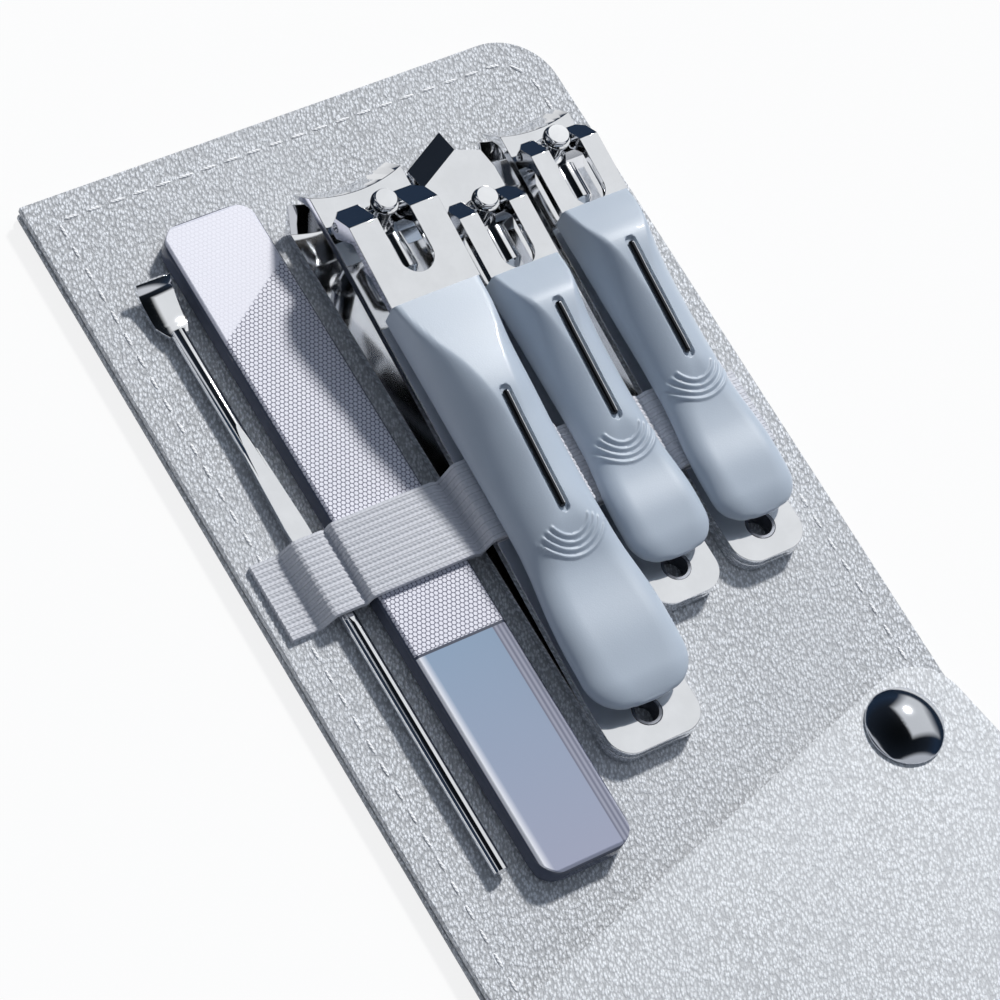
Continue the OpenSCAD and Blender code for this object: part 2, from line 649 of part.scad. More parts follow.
// The upper arm has a rounded bead pressed up along the lever's slot
module upper_arm(c) {
    w = width_of(c);
    slant = slant_of(c);
    bead_y = post_y(c) - slot_len + slot_w / 2;
    bead_l = slot_len - slot_w / 2 - post_d;
    reach = lip_reach(c);
    drop = lip_drop(c);
    end = edge_run(c);
    start = end - head_back(c, reach);
    deep = drop + 2 * edge_t;
    path = rounded([[0, 2 * arm_t], [tail_flat, 2 * arm_t], arm_point(end, 0)], bend_back, 4);
    under = offset_path(path, -arm_t);
    color(chrome_colour) on_panel(c) difference() {
        union() {
            difference() {
                intersection() {
                    across(w) polygon(concat(path, [arm_point(end, -deep), arm_point(start, -deep),
                        arm_point(start, -arm_t)], [for (i = [len(path) - 2:-1:0]) under[i]]));
                    translate([0, 0, -w]) linear_extrude(4 * w) arm_plan(c, 2 * len_of(c));
                    if (slant > 0) along_arm() translate([0, 0, -2 * w]) linear_extrude(4 * w)
                        slant_head(c, crease_run(c), reach);
                }
                along_arm() translate(slant > 0 ? [slant_tip * w, crease_run(c), 0]
                    : [0, axis_run(c), 0]) jaw_cuts(c, reach, drop);
                if (slant == 0) along_arm() translate([0, axis_run(c), -2 * w])
                    cylinder(r = edge_r, h = 4 * w, $fn = 96);
            }
            translate([0, bead_y, arm_top(bead_y) + bead_up]) rotate([arm_rise - 90, 0, 0]) {
                cylinder(d = bead_d, h = bead_l);
                translate([0, 0, -bead_nose]) cylinder(d1 = bead_d / 2, d2 = bead_d, h = bead_nose);
            }
        }
        eyelet_hole(arm_t - cut, arm_t + 2 * cut);
        translate([0, post_y(c), arm_top(post_y(c)) - 2 * arm_t])
            cylinder(d = post_d + 2 * loose_gap, h = 4 * arm_t);
    }
}

// A place on the upper arm, run along it from its bend and z above its top face
function arm_point(run, z) = [tail_flat + run * cos(arm_rise) - z * sin(arm_rise),
    2 * arm_t + run * sin(arm_rise) + z * cos(arm_rise)];

// The upper arm's own frame, from its bend at the end of the flat tail
module along_arm() {
    translate([0, tail_flat, 2 * arm_t]) rotate([arm_rise, 0, 0]) children();
}

// A short tube that holds the arms together at the tail
module tail_eyelet(c) {
    color(chrome_colour) on_panel(c) translate([0, eyelet_y, 0]) difference() {
        cylinder(d = eyelet_d + 2 * eyelet_wall, h = 2 * arm_t);
        translate([0, 0, -cut]) cylinder(d = eyelet_d, h = 2 * arm_t + 2 * cut);
    }
}

// The post's flange lies in the lower arm; its head stands level with the lever
module post(c) {
    top = lever_top_at_post(c) + 0.3;
    r = post_d / 2;
    neck = 0.25;
    color(chrome_colour) on_panel(c) translate([0, post_y(c), 0]) difference() {
        rotate_extrude($fn = 24) polygon([[0, 0], [post_flange_d / 2, 0],
            [post_flange_d / 2, arm_t / 2 - turn_gap], [r, arm_t / 2 - turn_gap],
            [r, top - 1.3], [r + neck, top - 1.2], [r + neck, top - 0.9], [r - neck, top - 0.8],
            [r - neck, top - 0.6], [r, top - 0.5], [r, top - 0.15], [r - 0.15, top], [0, top]]);
        translate([0, 0, pin_z(c)]) rotate([0, 90, 0])
            cylinder(d = pin_d + 0.04, h = 2 * post_d, center = true, $fn = 24);
    }
}

module cross_pin(c) {
    color(chrome_colour) on_panel(c) translate([0, post_y(c), pin_z(c)]) rotate([0, 90, 0])
        cylinder(d = pin_d, h = slot_w + (width_of(c) - slot_w) / 2, center = true, $fn = 24);
}

// The lever from the side: a cam round the cross pin, the plate, and the tang in the grip
module lever_side(c) {
    h = c[5];
    y = post_y(c);
    z = lever_top_at_post(c);
    cam = [[-0.4, 0], [-0.3, -0.05], [0.37, -0.5], [0.3, -0.72], [0.1, -0.86],
        [-0.2, -0.86], [-0.42, -0.62]];
    neck_y = y - 0.75 * h;
    polygon(concat([for (p = cam) [y + p[0] * h, z + p[1] * h]],
        [[neck_y, lever_top(c, neck_y) - lever_t], [tang_end, lever_top(c, tang_end) - lever_t],
        [tang_end, lever_top(c, tang_end)]]));
}

// The lever in front of its grip, with its front corners cut off
module lever_plan(c, w) {
    front = post_y(c) + 0.38 * c[5];
    corner = 0.09 * w;
    polygon([[-w / 2, grip_y(c)], [w / 2, grip_y(c)], [w / 2, front - corner],
        [w / 2 - corner, front], [corner - w / 2, front], [-w / 2, front - corner]]);
}

module lever(c) {
    w = width_of(c) - 2 * lever_side_in;
    tang_w = w * tang_share;
    slot_y = post_y(c) - slot_len + slot_w / 2;
    color(chrome_colour) on_panel(c) difference() {
        intersection() {
            across(w) lever_side(c);
            linear_extrude(2 * len_of(c)) {
                translate([-tang_w / 2, 0]) square([tang_w, len_of(c)]);
                lever_plan(c, w);
            }
        }
        translate([-slot_w / 2, slot_y, 0]) cube([slot_w, len_of(c), 2 * len_of(c)]);
        translate([0, slot_y, 0]) cylinder(d = slot_w, h = 2 * len_of(c));
        translate([0, post_y(c), pin_z(c)]) rotate([0, 90, 0])
            cylinder(d = pin_d + 2 * turn_gap, h = 2 * w, center = true, $fn = 24);
    }
}

// The grip's shape along its length: 0 at its end, 1 at its start
function grip_len(c) = grip_y(c) - grip_end;
function grip_share(c, y) = (y - grip_end) / grip_len(c);
function round_end(d, r) = d >= r ? 1 : sqrt(1 - (1 - max(d, 0) / r)^2);
function crown_keys(c) = let (h = c[7], a = grip_share(c, inlay_near(c)) - 0.02,
        b = grip_share(c, inlay_far(c)) + 0.02)
    [[0, 1], [0.06, 1.2], [0.15, 1.4], [0.27, 1], [a - 0.09, 1.2], [a, 0.78 * h],
    [mix(a, b, 0.35), 0.87 * h], [mix(a, b, 0.7), 0.94 * h], [b, h], [mix(b, 1, 0.5), 0.62 * h],
    [1, 0.3]];
width_keys = [[0, bulb_share], [0.2, bulb_share], [0.4, 0.93], [0.75, 0.94], [1, 0.97]];
function half_w(c, y) = width_of(c) / 2 * through(width_keys, grip_share(c, y))
    * (1 - end_pull + end_pull * round_end(y - grip_end, 0.36 * width_of(c)));
end_pull = 0.62;
function end_round(c, y) = round_end(y - grip_end + 0.25, 3.2);
function side_z(c, y) = grip_floor(c, y) + 1.1;
function crown_up(c, y) = (lever_top(c, y) + through(crown_keys(c), grip_share(c, y))
    - side_z(c, y)) * end_round(c, y);
function crown(c, y) = side_z(c, y) + crown_up(c, y);

// The grip's top surface at x: boxy at both ends, and falling away to the sides at the hump
boxy_keys = [[0, 0.5], [0.22, 0.42], [0.4, 0.72], [0.6, 0.85], [0.82, 0.7], [1, 0.36]];
function boxy(c, y) = through(boxy_keys, grip_share(c, y));
function power(v, e) = sign(v) * pow(abs(v), e);
function top_z(c, x, y) = let (e = boxy(c, y), u = min(1, abs(x) / half_w(c, y)))
    side_z(c, y) + crown_up(c, y) * pow(max(0, 1 - pow(u, 2 / e)), e / 2);
ring_n = 22;
function grip_ring(c, y) = let (e = boxy(c, y)) [for (i = [0:ring_n - 1])
    let (a = 360 * (i + 0.5) / ring_n) [half_w(c, y) * power(cos(a), e), y,
        side_z(c, y) + power(sin(a), e) * (sin(a) > 0 ? crown_up(c, y) : 1.1 * end_round(c, y))]];
function grip_stations(c) = concat([0, 0.12, 0.4, 0.9, 1.7, 2.9, 4.6],
    [for (i = [0:14]) 6.5 + (grip_len(c) - 6.5) * i / 14]);

module loft(rings) {
    m = len(rings);
    n = len(rings[0]);
    sides = [for (j = [0:m - 2], i = [0:n - 1]) let (a = j * n + i, b = j * n + (i + 1) % n)
        each [[a, b, b + n], [a, b + n, a + n]]];
    ends = [[for (i = [n - 1:-1:0]) i], [for (i = [0:n - 1]) (m - 1) * n + i]];
    polyhedron([for (r = rings) each r], concat(sides, ends));
}

// The inlay lies on the crown between two places along the clipper
function inlay_far(c) = grip_y(c) - c[9];
function inlay_near(c) = inlay_far(c) - inlay_len;
function recess_z(c, y) = let (a = inlay_near(c), b = inlay_far(c))
    mix(crown(c, a), crown(c, b), (y - a) / (b - a)) - recess_d;

// A raised ridge round the thumb's dish, a three-sided rib bent along the crown
ridge_r0 = 2.8;
module ridge(c, r) {
    half = 0.28;
    sunk = 0.4;
    y0 = inlay_near(c) - 0.6;
    rings = [for (a = [-70:14:70]) [for (p = [[-half, -sunk], [half, -sunk], [0, ridge_h]])
        let (q = r + p[0], x = q * sin(a), y = y0 - q * cos(a))
        [x, y, top_z(c, r * sin(a), y0 - r * cos(a)) + p[1]]]];
    loft(rings);
}

module grip(c) {
    far = inlay_far(c) + 0.6;
    near = inlay_near(c) - 0.6;
    tang_w = (width_of(c) - 2 * lever_side_in) * tang_share;
    color(grip_colour) on_panel(c) difference() {
        union() {
            loft([for (d = grip_stations(c)) grip_ring(c, grip_end + d)]);
            for (k = [0:ridge_n - 1]) ridge(c, ridge_r0 + k * ridge_pitch);
        }
        across(tang_w) polygon([[tang_end, lever_top(c, tang_end) - lever_t],
            [len_of(c), lever_top(c, len_of(c)) - lever_t],
            [len_of(c), lever_top(c, len_of(c))], [tang_end, lever_top(c, tang_end)]]);
        across(recess_w) polygon([[near, recess_z(c, near)], [far, recess_z(c, far)],
            [far, 2 * len_of(c)], [near, 2 * len_of(c)]]);
    }
}

// A narrow chrome bar that stands in the recess and follows the crown
module inlay(c) {
    near = inlay_near(c);
    far = inlay_far(c);
    n = 8;
    color(chrome_colour) on_panel(c) across(inlay_w) polygon(concat(
        [[near, recess_z(c, near)], [far, recess_z(c, far)]],
        [for (i = [n:-1:0]) let (y = mix(near, far, i / n)) [y, crown(c, y) + 0.15]]));
}

module large_lower_arm() { lower_arm(LARGE); }
module large_upper_arm() { upper_arm(LARGE); }
module large_tail_eyelet() { tail_eyelet(LARGE); }
module large_post() { post(LARGE); }
module large_cross_pin() { cross_pin(LARGE); }
module large_lever() { lever(LARGE); }
module large_grip() { grip(LARGE); }
module large_inlay() { inlay(LARGE); }
module slant_lower_arm() { lower_arm(SLANT); }
module slant_upper_arm() { upper_arm(SLANT); }
module slant_tail_eyelet() { tail_eyelet(SLANT); }
module slant_post() { post(SLANT); }
module slant_cross_pin() { cross_pin(SLANT); }
module slant_lever() { lever(SLANT); }
module slant_grip() { grip(SLANT); }
module slant_inlay() { inlay(SLANT); }
module small_lower_arm() { lower_arm(SMALL); }
module small_upper_arm() { upper_arm(SMALL); }
module small_tail_eyelet() { tail_eyelet(SMALL); }
module small_post() { post(SMALL); }
module small_cross_pin() { cross_pin(SMALL); }
module small_lever() { lever(SMALL); }
module small_grip() { grip(SMALL); }
module small_inlay() { inlay(SMALL); }

outer_cover();
board();
lining_panel();
flap_fold();
flap_outer();
flap_lining();
snap_cap();
snap_socket();
snap_stud();
snap_rivet();
elastic_band();
cuticle_pusher();
glass_file();
large_lower_arm();
large_upper_arm();
large_tail_eyelet();
large_post();
large_cross_pin();
large_lever();
large_grip();
large_inlay();
slant_lower_arm();
slant_upper_arm();
slant_tail_eyelet();
slant_post();
slant_cross_pin();
slant_lever();
slant_grip();
slant_inlay();
small_lower_arm();
small_upper_arm();
small_tail_eyelet();
small_post();
small_cross_pin();
small_lever();
small_grip();
small_inlay();
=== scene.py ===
"""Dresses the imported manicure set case: leatherette and stitches, elastic webbing,
chrome tools, an etched glass file and moulded grips, on a pale studio floor."""

import json
import math

import bmesh
import bpy
from bpy.props import FloatProperty, FloatVectorProperty, IntProperty, PointerProperty
from mathutils import Matrix, Vector


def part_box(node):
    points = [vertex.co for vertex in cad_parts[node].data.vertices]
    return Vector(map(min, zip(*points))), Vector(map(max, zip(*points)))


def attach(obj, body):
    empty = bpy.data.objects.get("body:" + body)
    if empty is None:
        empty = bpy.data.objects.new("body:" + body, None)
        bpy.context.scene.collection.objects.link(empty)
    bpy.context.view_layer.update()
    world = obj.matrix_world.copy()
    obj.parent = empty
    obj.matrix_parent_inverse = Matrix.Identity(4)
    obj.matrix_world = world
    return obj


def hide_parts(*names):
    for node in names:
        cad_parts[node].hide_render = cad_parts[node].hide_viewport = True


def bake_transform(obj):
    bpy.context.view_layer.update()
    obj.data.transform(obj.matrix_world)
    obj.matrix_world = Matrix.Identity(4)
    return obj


bl_info = {
    "name": "Manicure Set Case",
    "version": (1, 0, 0),
    "blender": (4, 5, 0),
    "location": "View3D > Sidebar > Manicure Set",
    "description": "Builds the looks of a manicure set case around its packed model",
    "category": "Object",
}

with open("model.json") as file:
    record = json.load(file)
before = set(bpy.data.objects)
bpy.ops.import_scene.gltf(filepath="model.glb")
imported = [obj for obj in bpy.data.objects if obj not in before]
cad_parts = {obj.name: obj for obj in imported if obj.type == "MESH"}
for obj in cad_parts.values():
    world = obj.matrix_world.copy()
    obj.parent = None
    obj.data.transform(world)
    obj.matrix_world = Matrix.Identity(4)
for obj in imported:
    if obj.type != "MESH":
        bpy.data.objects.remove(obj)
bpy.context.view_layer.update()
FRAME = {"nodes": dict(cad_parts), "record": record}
MM = 0.001
PANEL_LOW, PANEL_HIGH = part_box("lining_panel")


def on_panel(x, y, z=0.0):
    """A point in mm from the panel's bottom left corner, z in mm above the lining."""
    return Vector((PANEL_LOW.x + x * MM, PANEL_LOW.y + y * MM, PANEL_HIGH.z + z * MM))


# Colours of the finishes that the sidebar doesn't set
TOOL_CHROME = (0.86, 0.87, 0.89)
SNAP_CHROME = (0.62, 0.64, 0.68)
EYELET_STEEL = (0.2, 0.21, 0.24)
INLAY_STEEL = (0.035, 0.037, 0.042)
# Painted highlight: the bright line along the inlay's right edge
INLAY_PAINTED_HIGHLIGHT = (0.92, 0.93, 0.95)
BOARD_PALE = (0.13, 0.13, 0.15)
BOARD_DARK = (0.07, 0.07, 0.08)
WEBBING = (0.66, 0.67, 0.72)
THREAD_PALE = (0.95, 0.95, 0.96)
THREAD_DARK = (0.82, 0.83, 0.85)
HEX_LINE = (0.16, 0.16, 0.23)
HEX_DARK = (0.62, 0.62, 0.72)
HEX_PALE = (0.84, 0.84, 0.92)
GLASS_NEAR = (0.36, 0.38, 0.50)
GLASS_FAR = (0.27, 0.37, 0.51)
GLASS_LIP_PALE = (0.36, 0.37, 0.46)
GLASS_LIP_DARK = (0.17, 0.18, 0.25)
# Painted highlight along the glass file's left edge
GLASS_GLINT = (0.93, 0.93, 0.98)
GLASS_WALL_LOW = (0.11, 0.125, 0.18)
GLASS_WALL_HIGH = (0.055, 0.065, 0.10)
STUDIO_NAVY = (0.02, 0.034, 0.062)
STUDIO_STRIP = (0.6, 0.62, 0.66)
STUDIO_LAMP = (0.80, 0.815, 0.83)
STUDIO_FILL = (0.74, 0.84, 1.0)
WHITE = (1.0, 1.0, 1.0)


class Wire:
    """A shader socket that can stand in a sum."""

    def __init__(self, finish, socket):
        self.finish = finish
        self.socket = socket

    def maths(self, operation, *values):
        return self.finish.node("ShaderNodeMath", {"operation": operation}, *values)["Value"]

    def __add__(self, other):
        return self.maths("ADD", self, other)

    def __radd__(self, other):
        return self.maths("ADD", other, self)

    def __sub__(self, other):
        return self.maths("SUBTRACT", self, other)

    def __rsub__(self, other):
        return self.maths("SUBTRACT", other, self)

    def __mul__(self, other):
        return self.maths("MULTIPLY", self, other)

    def __rmul__(self, other):
        return self.maths("MULTIPLY", other, self)

    def __truediv__(self, other):
        return self.maths("DIVIDE", self, other)

    def __pow__(self, other):
        return self.maths("POWER", self, other)

    def __abs__(self):
        return self.maths("ABSOLUTE", self)

    def sine(self):
        return self.maths("SINE", self)

    def wrapped(self, half):
        """The distance to the nearest multiple of 2 * half."""
        return self.maths("WRAP", self, half, -half)

    def least(self, other):
        return self.maths("MINIMUM", self, other)

    def most(self, other):
        return self.maths("MAXIMUM", self, other)

    def clamped(self):
        return self.most(0.0).least(1.0)

    def over(self, edge, width):
        """0 below edge, 1 from edge + width on."""
        return ((self - edge) / width).clamped()


class Made:
    """A node whose outputs are read by name."""

    def __init__(self, finish, node):
        self.finish = finish
        self.node = node

    def __getitem__(self, name):
        return Wire(self.finish, self.node.outputs[name])


class Finish:
    """A material in the making, or the world's light."""

    def __init__(self, name, tree=None):
        if tree is None:
            self.material = bpy.data.materials.new(name)
            self.material.use_nodes = True
            tree = self.material.node_tree
        self.tree = tree
        self.tree.nodes.clear()

    def node(self, kind, settings=None, *values, **named):
        made = self.tree.nodes.new(kind)
        for key, value in (settings or {}).items():
            if key == "stops":
                ramp = made.color_ramp
                while len(ramp.elements) < len(value):
                    ramp.elements.new(0.5)
                for element, (place, colour) in zip(ramp.elements, value):
                    element.position = place
                    element.color = colour
            else:
                setattr(made, key, value)
        sockets = list(enumerate(values))
        sockets += [(k.replace("_", " "), v) for k, v in named.items()]
        for key, value in sockets:
            if isinstance(value, Wire):
                self.tree.links.new(value.socket, made.inputs[key])
            elif value is not None:
                made.inputs[key].default_value = value
        return Made(self, made)

    def place(self, scale=(1.0, 1.0, 1.0), turn=0.0):
        """Object coordinates in millimetres, turned back about Z and scaled."""
        coordinates = self.node("ShaderNodeTexCoord")["Object"]
        size = [MM / s for s in scale]
        lean = (0, 0, turn)
        return self.node("ShaderNodeMapping", {"vector_type": "TEXTURE"}, coordinates, (0, 0, 0), lean,
                         size)["Vector"]

    def axes(self, vector):
        split = self.node("ShaderNodeSeparateXYZ", None, vector)
        return split["X"], split["Y"], split["Z"]

    def noise(self, vector, scale, detail=3.0, roughness=0.5, output="Fac"):
        return self.node("ShaderNodeTexNoise", None, Vector=vector, Scale=scale, Detail=detail,
                         Roughness=roughness)[output]

    def cells(self, vector, scale):
        """The distance to the middle of the nearest cell."""
        return self.node("ShaderNodeTexVoronoi", None, Vector=vector, Scale=scale)["Distance"]

    def mix(self, factor, a, b):
        """A colour between two colours."""
        vectors = (None, None, None, None, None)
        made = self.node("ShaderNodeMix", {"data_type": "RGBA"}, factor, *vectors, a, b)
        return Wire(self, made.node.outputs[2])

    def drawn_aside(self, vector, other, factor):
        """A vector drawn towards another one."""
        made = self.node("ShaderNodeMix", {"data_type": "VECTOR"}, factor, None, None, None, vector, other)
        return Wire(self, made.node.outputs[1])

    def shaders(self, factor, a, b):
        return self.node("ShaderNodeMixShader", None, factor, a, b)["Shader"]

    def bump(self, height, distance, strength=1.0):
        return self.node("ShaderNodeBump", None, Strength=strength, Distance=distance * MM,
                         Height=height)["Normal"]

    def surface(self, **sockets):
        return self.node("ShaderNodeBsdfPrincipled", None, **sockets)["BSDF"]

    def done(self, shader):
        self.node("ShaderNodeOutputMaterial", None, shader)
        return self.material


def rgba(colour, shade=1.0):
    return (colour[0] * shade, colour[1] * shade, colour[2] * shade, 1.0)


GRAIN_PER_MM = 3.0
GRAIN_NARROWING = 0.55
GRAIN_LEAN = math.radians(-28.0)


def leather_finish(name, colour, depth, grain_and_shade_contrast):
    """Fine worm-like grain whose pale tops and grey valleys are partly its own tone and partly painted
    highlight and painted shade; its depth is in mm.
    """
    finish = Finish(name)
    place = finish.place((1.0, GRAIN_NARROWING, 1.0), GRAIN_LEAN)
    stray = finish.noise(place, 1.5 * GRAIN_PER_MM, 2.0, output="Color")
    lumps = 1.0 - finish.cells(finish.drawn_aside(place, stray, 0.2), 1.25 * GRAIN_PER_MM)
    fine = finish.noise(place, 2.6 * GRAIN_PER_MM, 3.0, 0.6)
    height = lumps * 0.8 + fine * 0.4
    # Darker valleys and paler tops: the grain's tone together with painted shade and painted highlight
    valley_with_shade, top = rgba(colour, 1.0 - grain_and_shade_contrast), rgba(colour, 1.0 + grain_and_shade_contrast)
    tone = finish.mix(height.over(0.5, 0.36), valley_with_shade, top)
    cloud = finish.noise(place, 0.06).over(0.4, 0.3) * 0.3
    return finish.done(finish.surface(Base_Color=finish.mix(cloud, tone, rgba(colour, 0.92)),
                                      Roughness=0.62 - height * 0.14, Normal=finish.bump(height, depth)))


def chrome_finish(name, colour, rough):
    """Bright metal, a little smeared."""
    finish = Finish(name)
    smear = finish.noise(finish.place(), 0.25, 3.0, 0.6)
    tint = finish.mix(smear.over(0.4, 0.3), rgba(colour, 0.97), rgba(colour, 1.02))
    return finish.done(finish.surface(Base_Color=tint, Metallic=1.0, Roughness=rough + smear * 0.03))


def inlay_finish(name, middle):
    """Dark polished steel with a painted highlight, a bright line along its right edge; middle is the
    inlay's x in mm.
    """
    highlight_from, highlight_blur = 0.14, 0.05
    finish = Finish(name)
    x, y, z = finish.axes(finish.place())
    # Painted highlight along the inlay's right edge, over the dark steel
    tint = finish.mix((x - middle).over(highlight_from, highlight_blur), rgba(INLAY_STEEL), rgba(INLAY_PAINTED_HIGHLIGHT))
    return finish.done(finish.surface(Base_Color=tint, Metallic=1.0, Roughness=0.1))


def grip_finish(name, colour):
    """Matt moulded plastic."""
    finish = Finish(name)
    place = finish.place()
    grain = finish.noise(place, 5.0, 3.0, 0.6)
    cloud = finish.noise(place, 0.12, 2.0).over(0.35, 0.3)
    tint = finish.mix(cloud, rgba(colour, 0.98), rgba(colour, 1.02))
    return finish.done(finish.surface(Base_Color=tint, Roughness=0.38 + grain * 0.1, Coat_Weight=0.06,
                                      Normal=finish.bump(grain, 0.012)))


def board_finish():
    """Pressed fibres, finer through the board's thickness."""
    finish = Finish("stiff board")
    fibre = finish.noise(finish.place((1.0, 1.0, 6.0)), 2.0, 4.0)
    tint = finish.mix(fibre, rgba(BOARD_DARK), rgba(BOARD_PALE))
    return finish.done(finish.surface(Base_Color=tint, Roughness=0.8))


def webbing_finish(low_y, pitch):
    """Cross threads in a zigzag over the ribs, with painted shade, a dark line, in each groove; sizes in mm.
    """
    thread, climb, bend = 0.62, 0.9, 2.6
    finish = Finish("elastic webbing")
    x, y, z = finish.axes(finish.place())
    share = (y - low_y).wrapped(0.5 * pitch) / (0.5 * pitch)
    groove = abs(share).over(0.8, 0.2)
    zigzag = ((x + z * climb) * 2.0 * math.pi / thread + abs(share) * bend).sine()
    fuzz = finish.noise(finish.place(), 4.0, 4.0, 0.7)
    height = zigzag * 0.18 + fuzz * 0.35 - groove * 0.6
    # The tone follows the height: thread pattern and fuzz, with painted shade down in the grooves
    tint = finish.mix((height * 0.55 + 0.4).clamped(), rgba(WEBBING, 0.86), rgba(WEBBING, 1.06))
    # Painted shade: each groove between the ribs darkened
    tint = finish.mix(groove * 0.5, tint, rgba(WEBBING, 0.5))
    return finish.done(finish.surface(Base_Color=tint, Roughness=0.8, Normal=finish.bump(height, 0.07)))


def thread_finish():
    """Pale twisted thread."""
    turns = 12.0
    finish = Finish("stitch thread")
    x, y, z = finish.axes(finish.place())
    twist = ((x + y) * turns).sine()
    tint = finish.mix(twist * 0.5 + 0.5, rgba(THREAD_DARK), rgba(THREAD_PALE))
    return finish.done(finish.surface(Base_Color=tint, Roughness=0.7, Normal=finish.bump(twist, 0.02)))


class FileFinish:
    """The glass file's finish: clear below, hexagons etched above, a painted reflection at the tip; sizes in
    mm.
    """

    PITCH = 0.6
    CLEAR_LINE = 0.35
    LIP = 2.2
    GLINT = 1.5
    LIP_LINES = 0.62
    BEVEL = 0.22
    EDGE_BLUR = 0.05

    def __init__(self, low, high, etched_y, frost_y):
        self.low, self.high = low, high
        self.etched_y, self.frost_y = etched_y, frost_y
        self.finish = Finish("etched glass")
        self.x, self.y, self.z = self.finish.axes(self.finish.place())

    def middles(self, shift_x, shift_y):
        """The squared distance to the nearest middle in one of the two grids of hexagons."""
        tall = self.PITCH * math.sqrt(3.0)
        across = (self.x + shift_x * self.PITCH).wrapped(0.5 * self.PITCH)
        along_file = (self.y + shift_y * tall).wrapped(0.5 * tall)
        return across ** 2.0 + along_file ** 2.0

    def etched(self):
        """Pale hexagons with dark lines between them, which fade into a pale painted reflection at the tip.
        """
        finish, square = self.finish, self.PITCH * self.PITCH
        nearest = self.middles(0.0, 0.0).least(self.middles(0.5, 0.5))
        cell = 1.0 - nearest.over(0.15 * square, 0.09 * square)
        # Painted reflection: a pale zone at the tip, widest at the left, where the hexagons fade
        tip = ((self.y - self.frost_y) * 0.85 - (self.x - self.low.x) * 0.53).over(0.0, 0.3)
        cell = cell.most(tip * 0.9)
        frost = finish.noise(finish.place(), 5.0, 2.0, 0.6)
        tint = finish.mix(cell, rgba(HEX_LINE), finish.mix(frost, rgba(HEX_DARK), rgba(HEX_PALE)))
        return finish.surface(Base_Color=tint, Roughness=0.42, Normal=finish.bump(cell, 0.05))

    def clear(self):
        """Blue glass with a painted glint along its left edge and fine lines along its right lip."""
        finish = self.finish
        across = self.x - 0.5 * (self.low.x + self.high.x)
        half = 0.5 * (self.high.x - self.low.x)
        side = abs(across) - (half - self.LIP)
        glint = (-1.0 * across - (half - self.GLINT)).over(0.0, 1.0)
        lip = (across - (half - self.LIP)).over(0.0, 0.1)
        lines = (side * (2.0 * math.pi / self.LIP_LINES)).sine() * 0.5 + 0.5
        ramp = ((self.y - self.low.y) / (self.etched_y - self.low.y)).clamped()
        inner = finish.mix(ramp, rgba(GLASS_NEAR), rgba(GLASS_FAR))
        tint = finish.mix(lip, inner, finish.mix(lines, rgba(GLASS_LIP_PALE), rgba(GLASS_LIP_DARK)))
        # Painted highlight: the glint along the file's left edge
        tint = finish.mix(glint, tint, rgba(GLASS_GLINT))
        return finish.surface(Base_Color=tint, Roughness=0.06, Coat_Weight=0.5, IOR=1.5)

    def dark(self):
        """The walls, and the line where the etching starts."""
        finish = self.finish
        share = ((self.z - self.low.z) / (self.high.z - self.low.z)).clamped()
        shade = finish.mix(share, rgba(GLASS_WALL_LOW), rgba(GLASS_WALL_HIGH))
        return finish.surface(Base_Color=shade, Roughness=0.16)

    def made(self):
        past = self.y - self.etched_y
        etched = past.over(0.0, self.EDGE_BLUR)
        line = past.over(-self.CLEAR_LINE, self.EDGE_BLUR) * (1.0 - etched)
        wall = (self.high.z - self.BEVEL - self.z).over(0.0, 0.08)
        top = self.finish.shaders(etched, self.clear(), self.etched())
        return self.finish.done(self.finish.shaders(line.most(wall), top, self.dark()))


def new_piece(name, bm, material, body, replaces=(), smooth=None):
    """Makes an object from a bmesh, which is freed, and ties it to its body."""
    mesh = bpy.data.meshes.new(name)
    bm.to_mesh(mesh)
    bm.free()
    mesh.materials.append(material)
    if smooth:
        for polygon in mesh.polygons:
            polygon.use_smooth = True
        mesh.set_sharp_from_angle(angle=math.radians(smooth))
    piece = bpy.data.objects.new(name, mesh)
    bpy.context.scene.collection.objects.link(piece)
    if body:
        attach(piece, body)
    if replaces:
        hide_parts(*replaces)
    return piece


def paint(node, material):
    """Gives a CAD node its finish."""
    mesh = FRAME["nodes"][node].data
    mesh.materials.clear()
    mesh.materials.append(material)


def body_of(node):
    for body, members in FRAME["record"]["behaviour"]["bodies"].items():
        if node in members:
            return body
    raise RuntimeError(f"no body holds {node}")


# Turns are in degrees, distances in metres; FACING is how much of a normal lies along an axis
FLAT_TURN = 0.6
SAME_PLACE = 1e-5
WELD = 1e-6
FACING = 0.9


def copy_of(*nodes):
    """The merged meshes of CAD nodes, with their flat faces whole."""
    bm = bmesh.new()
    for node in nodes:
        bm.from_mesh(FRAME["nodes"][node].data)
    bmesh.ops.remove_doubles(bm, verts=bm.verts, dist=WELD)
    bmesh.ops.dissolve_limit(bm, angle_limit=math.radians(FLAT_TURN), verts=bm.verts, edges=bm.edges,
                             use_dissolve_boundaries=False, delimit=set())
    return bm


WIDEST_CURVED = 1.2


def round_edges(bm, bevel, angle=28.0, segments=2):
    """Rounds the sharp edges; narrow faces of curved surfaces and the roundings shade smoothly."""
    for face in bm.faces:
        turns = [math.degrees(e.calc_face_angle(0.0)) for e in face.edges if e.is_manifold]
        width = face.calc_area() / max(e.calc_length() for e in face.edges)
        face.smooth = any(FLAT_TURN < t < angle for t in turns) and width < WIDEST_CURVED * MM
    sharp = [e for e in bm.edges if e.is_manifold and math.degrees(e.calc_face_angle(0.0)) > angle]
    made = bmesh.ops.bevel(bm, geom=sharp, offset=bevel * MM, offset_type="OFFSET", segments=segments,
                           affect="EDGES", profile=0.5, material=-1, clamp_overlap=True)
    for face in made["faces"]:
        face.smooth = True
    return bm


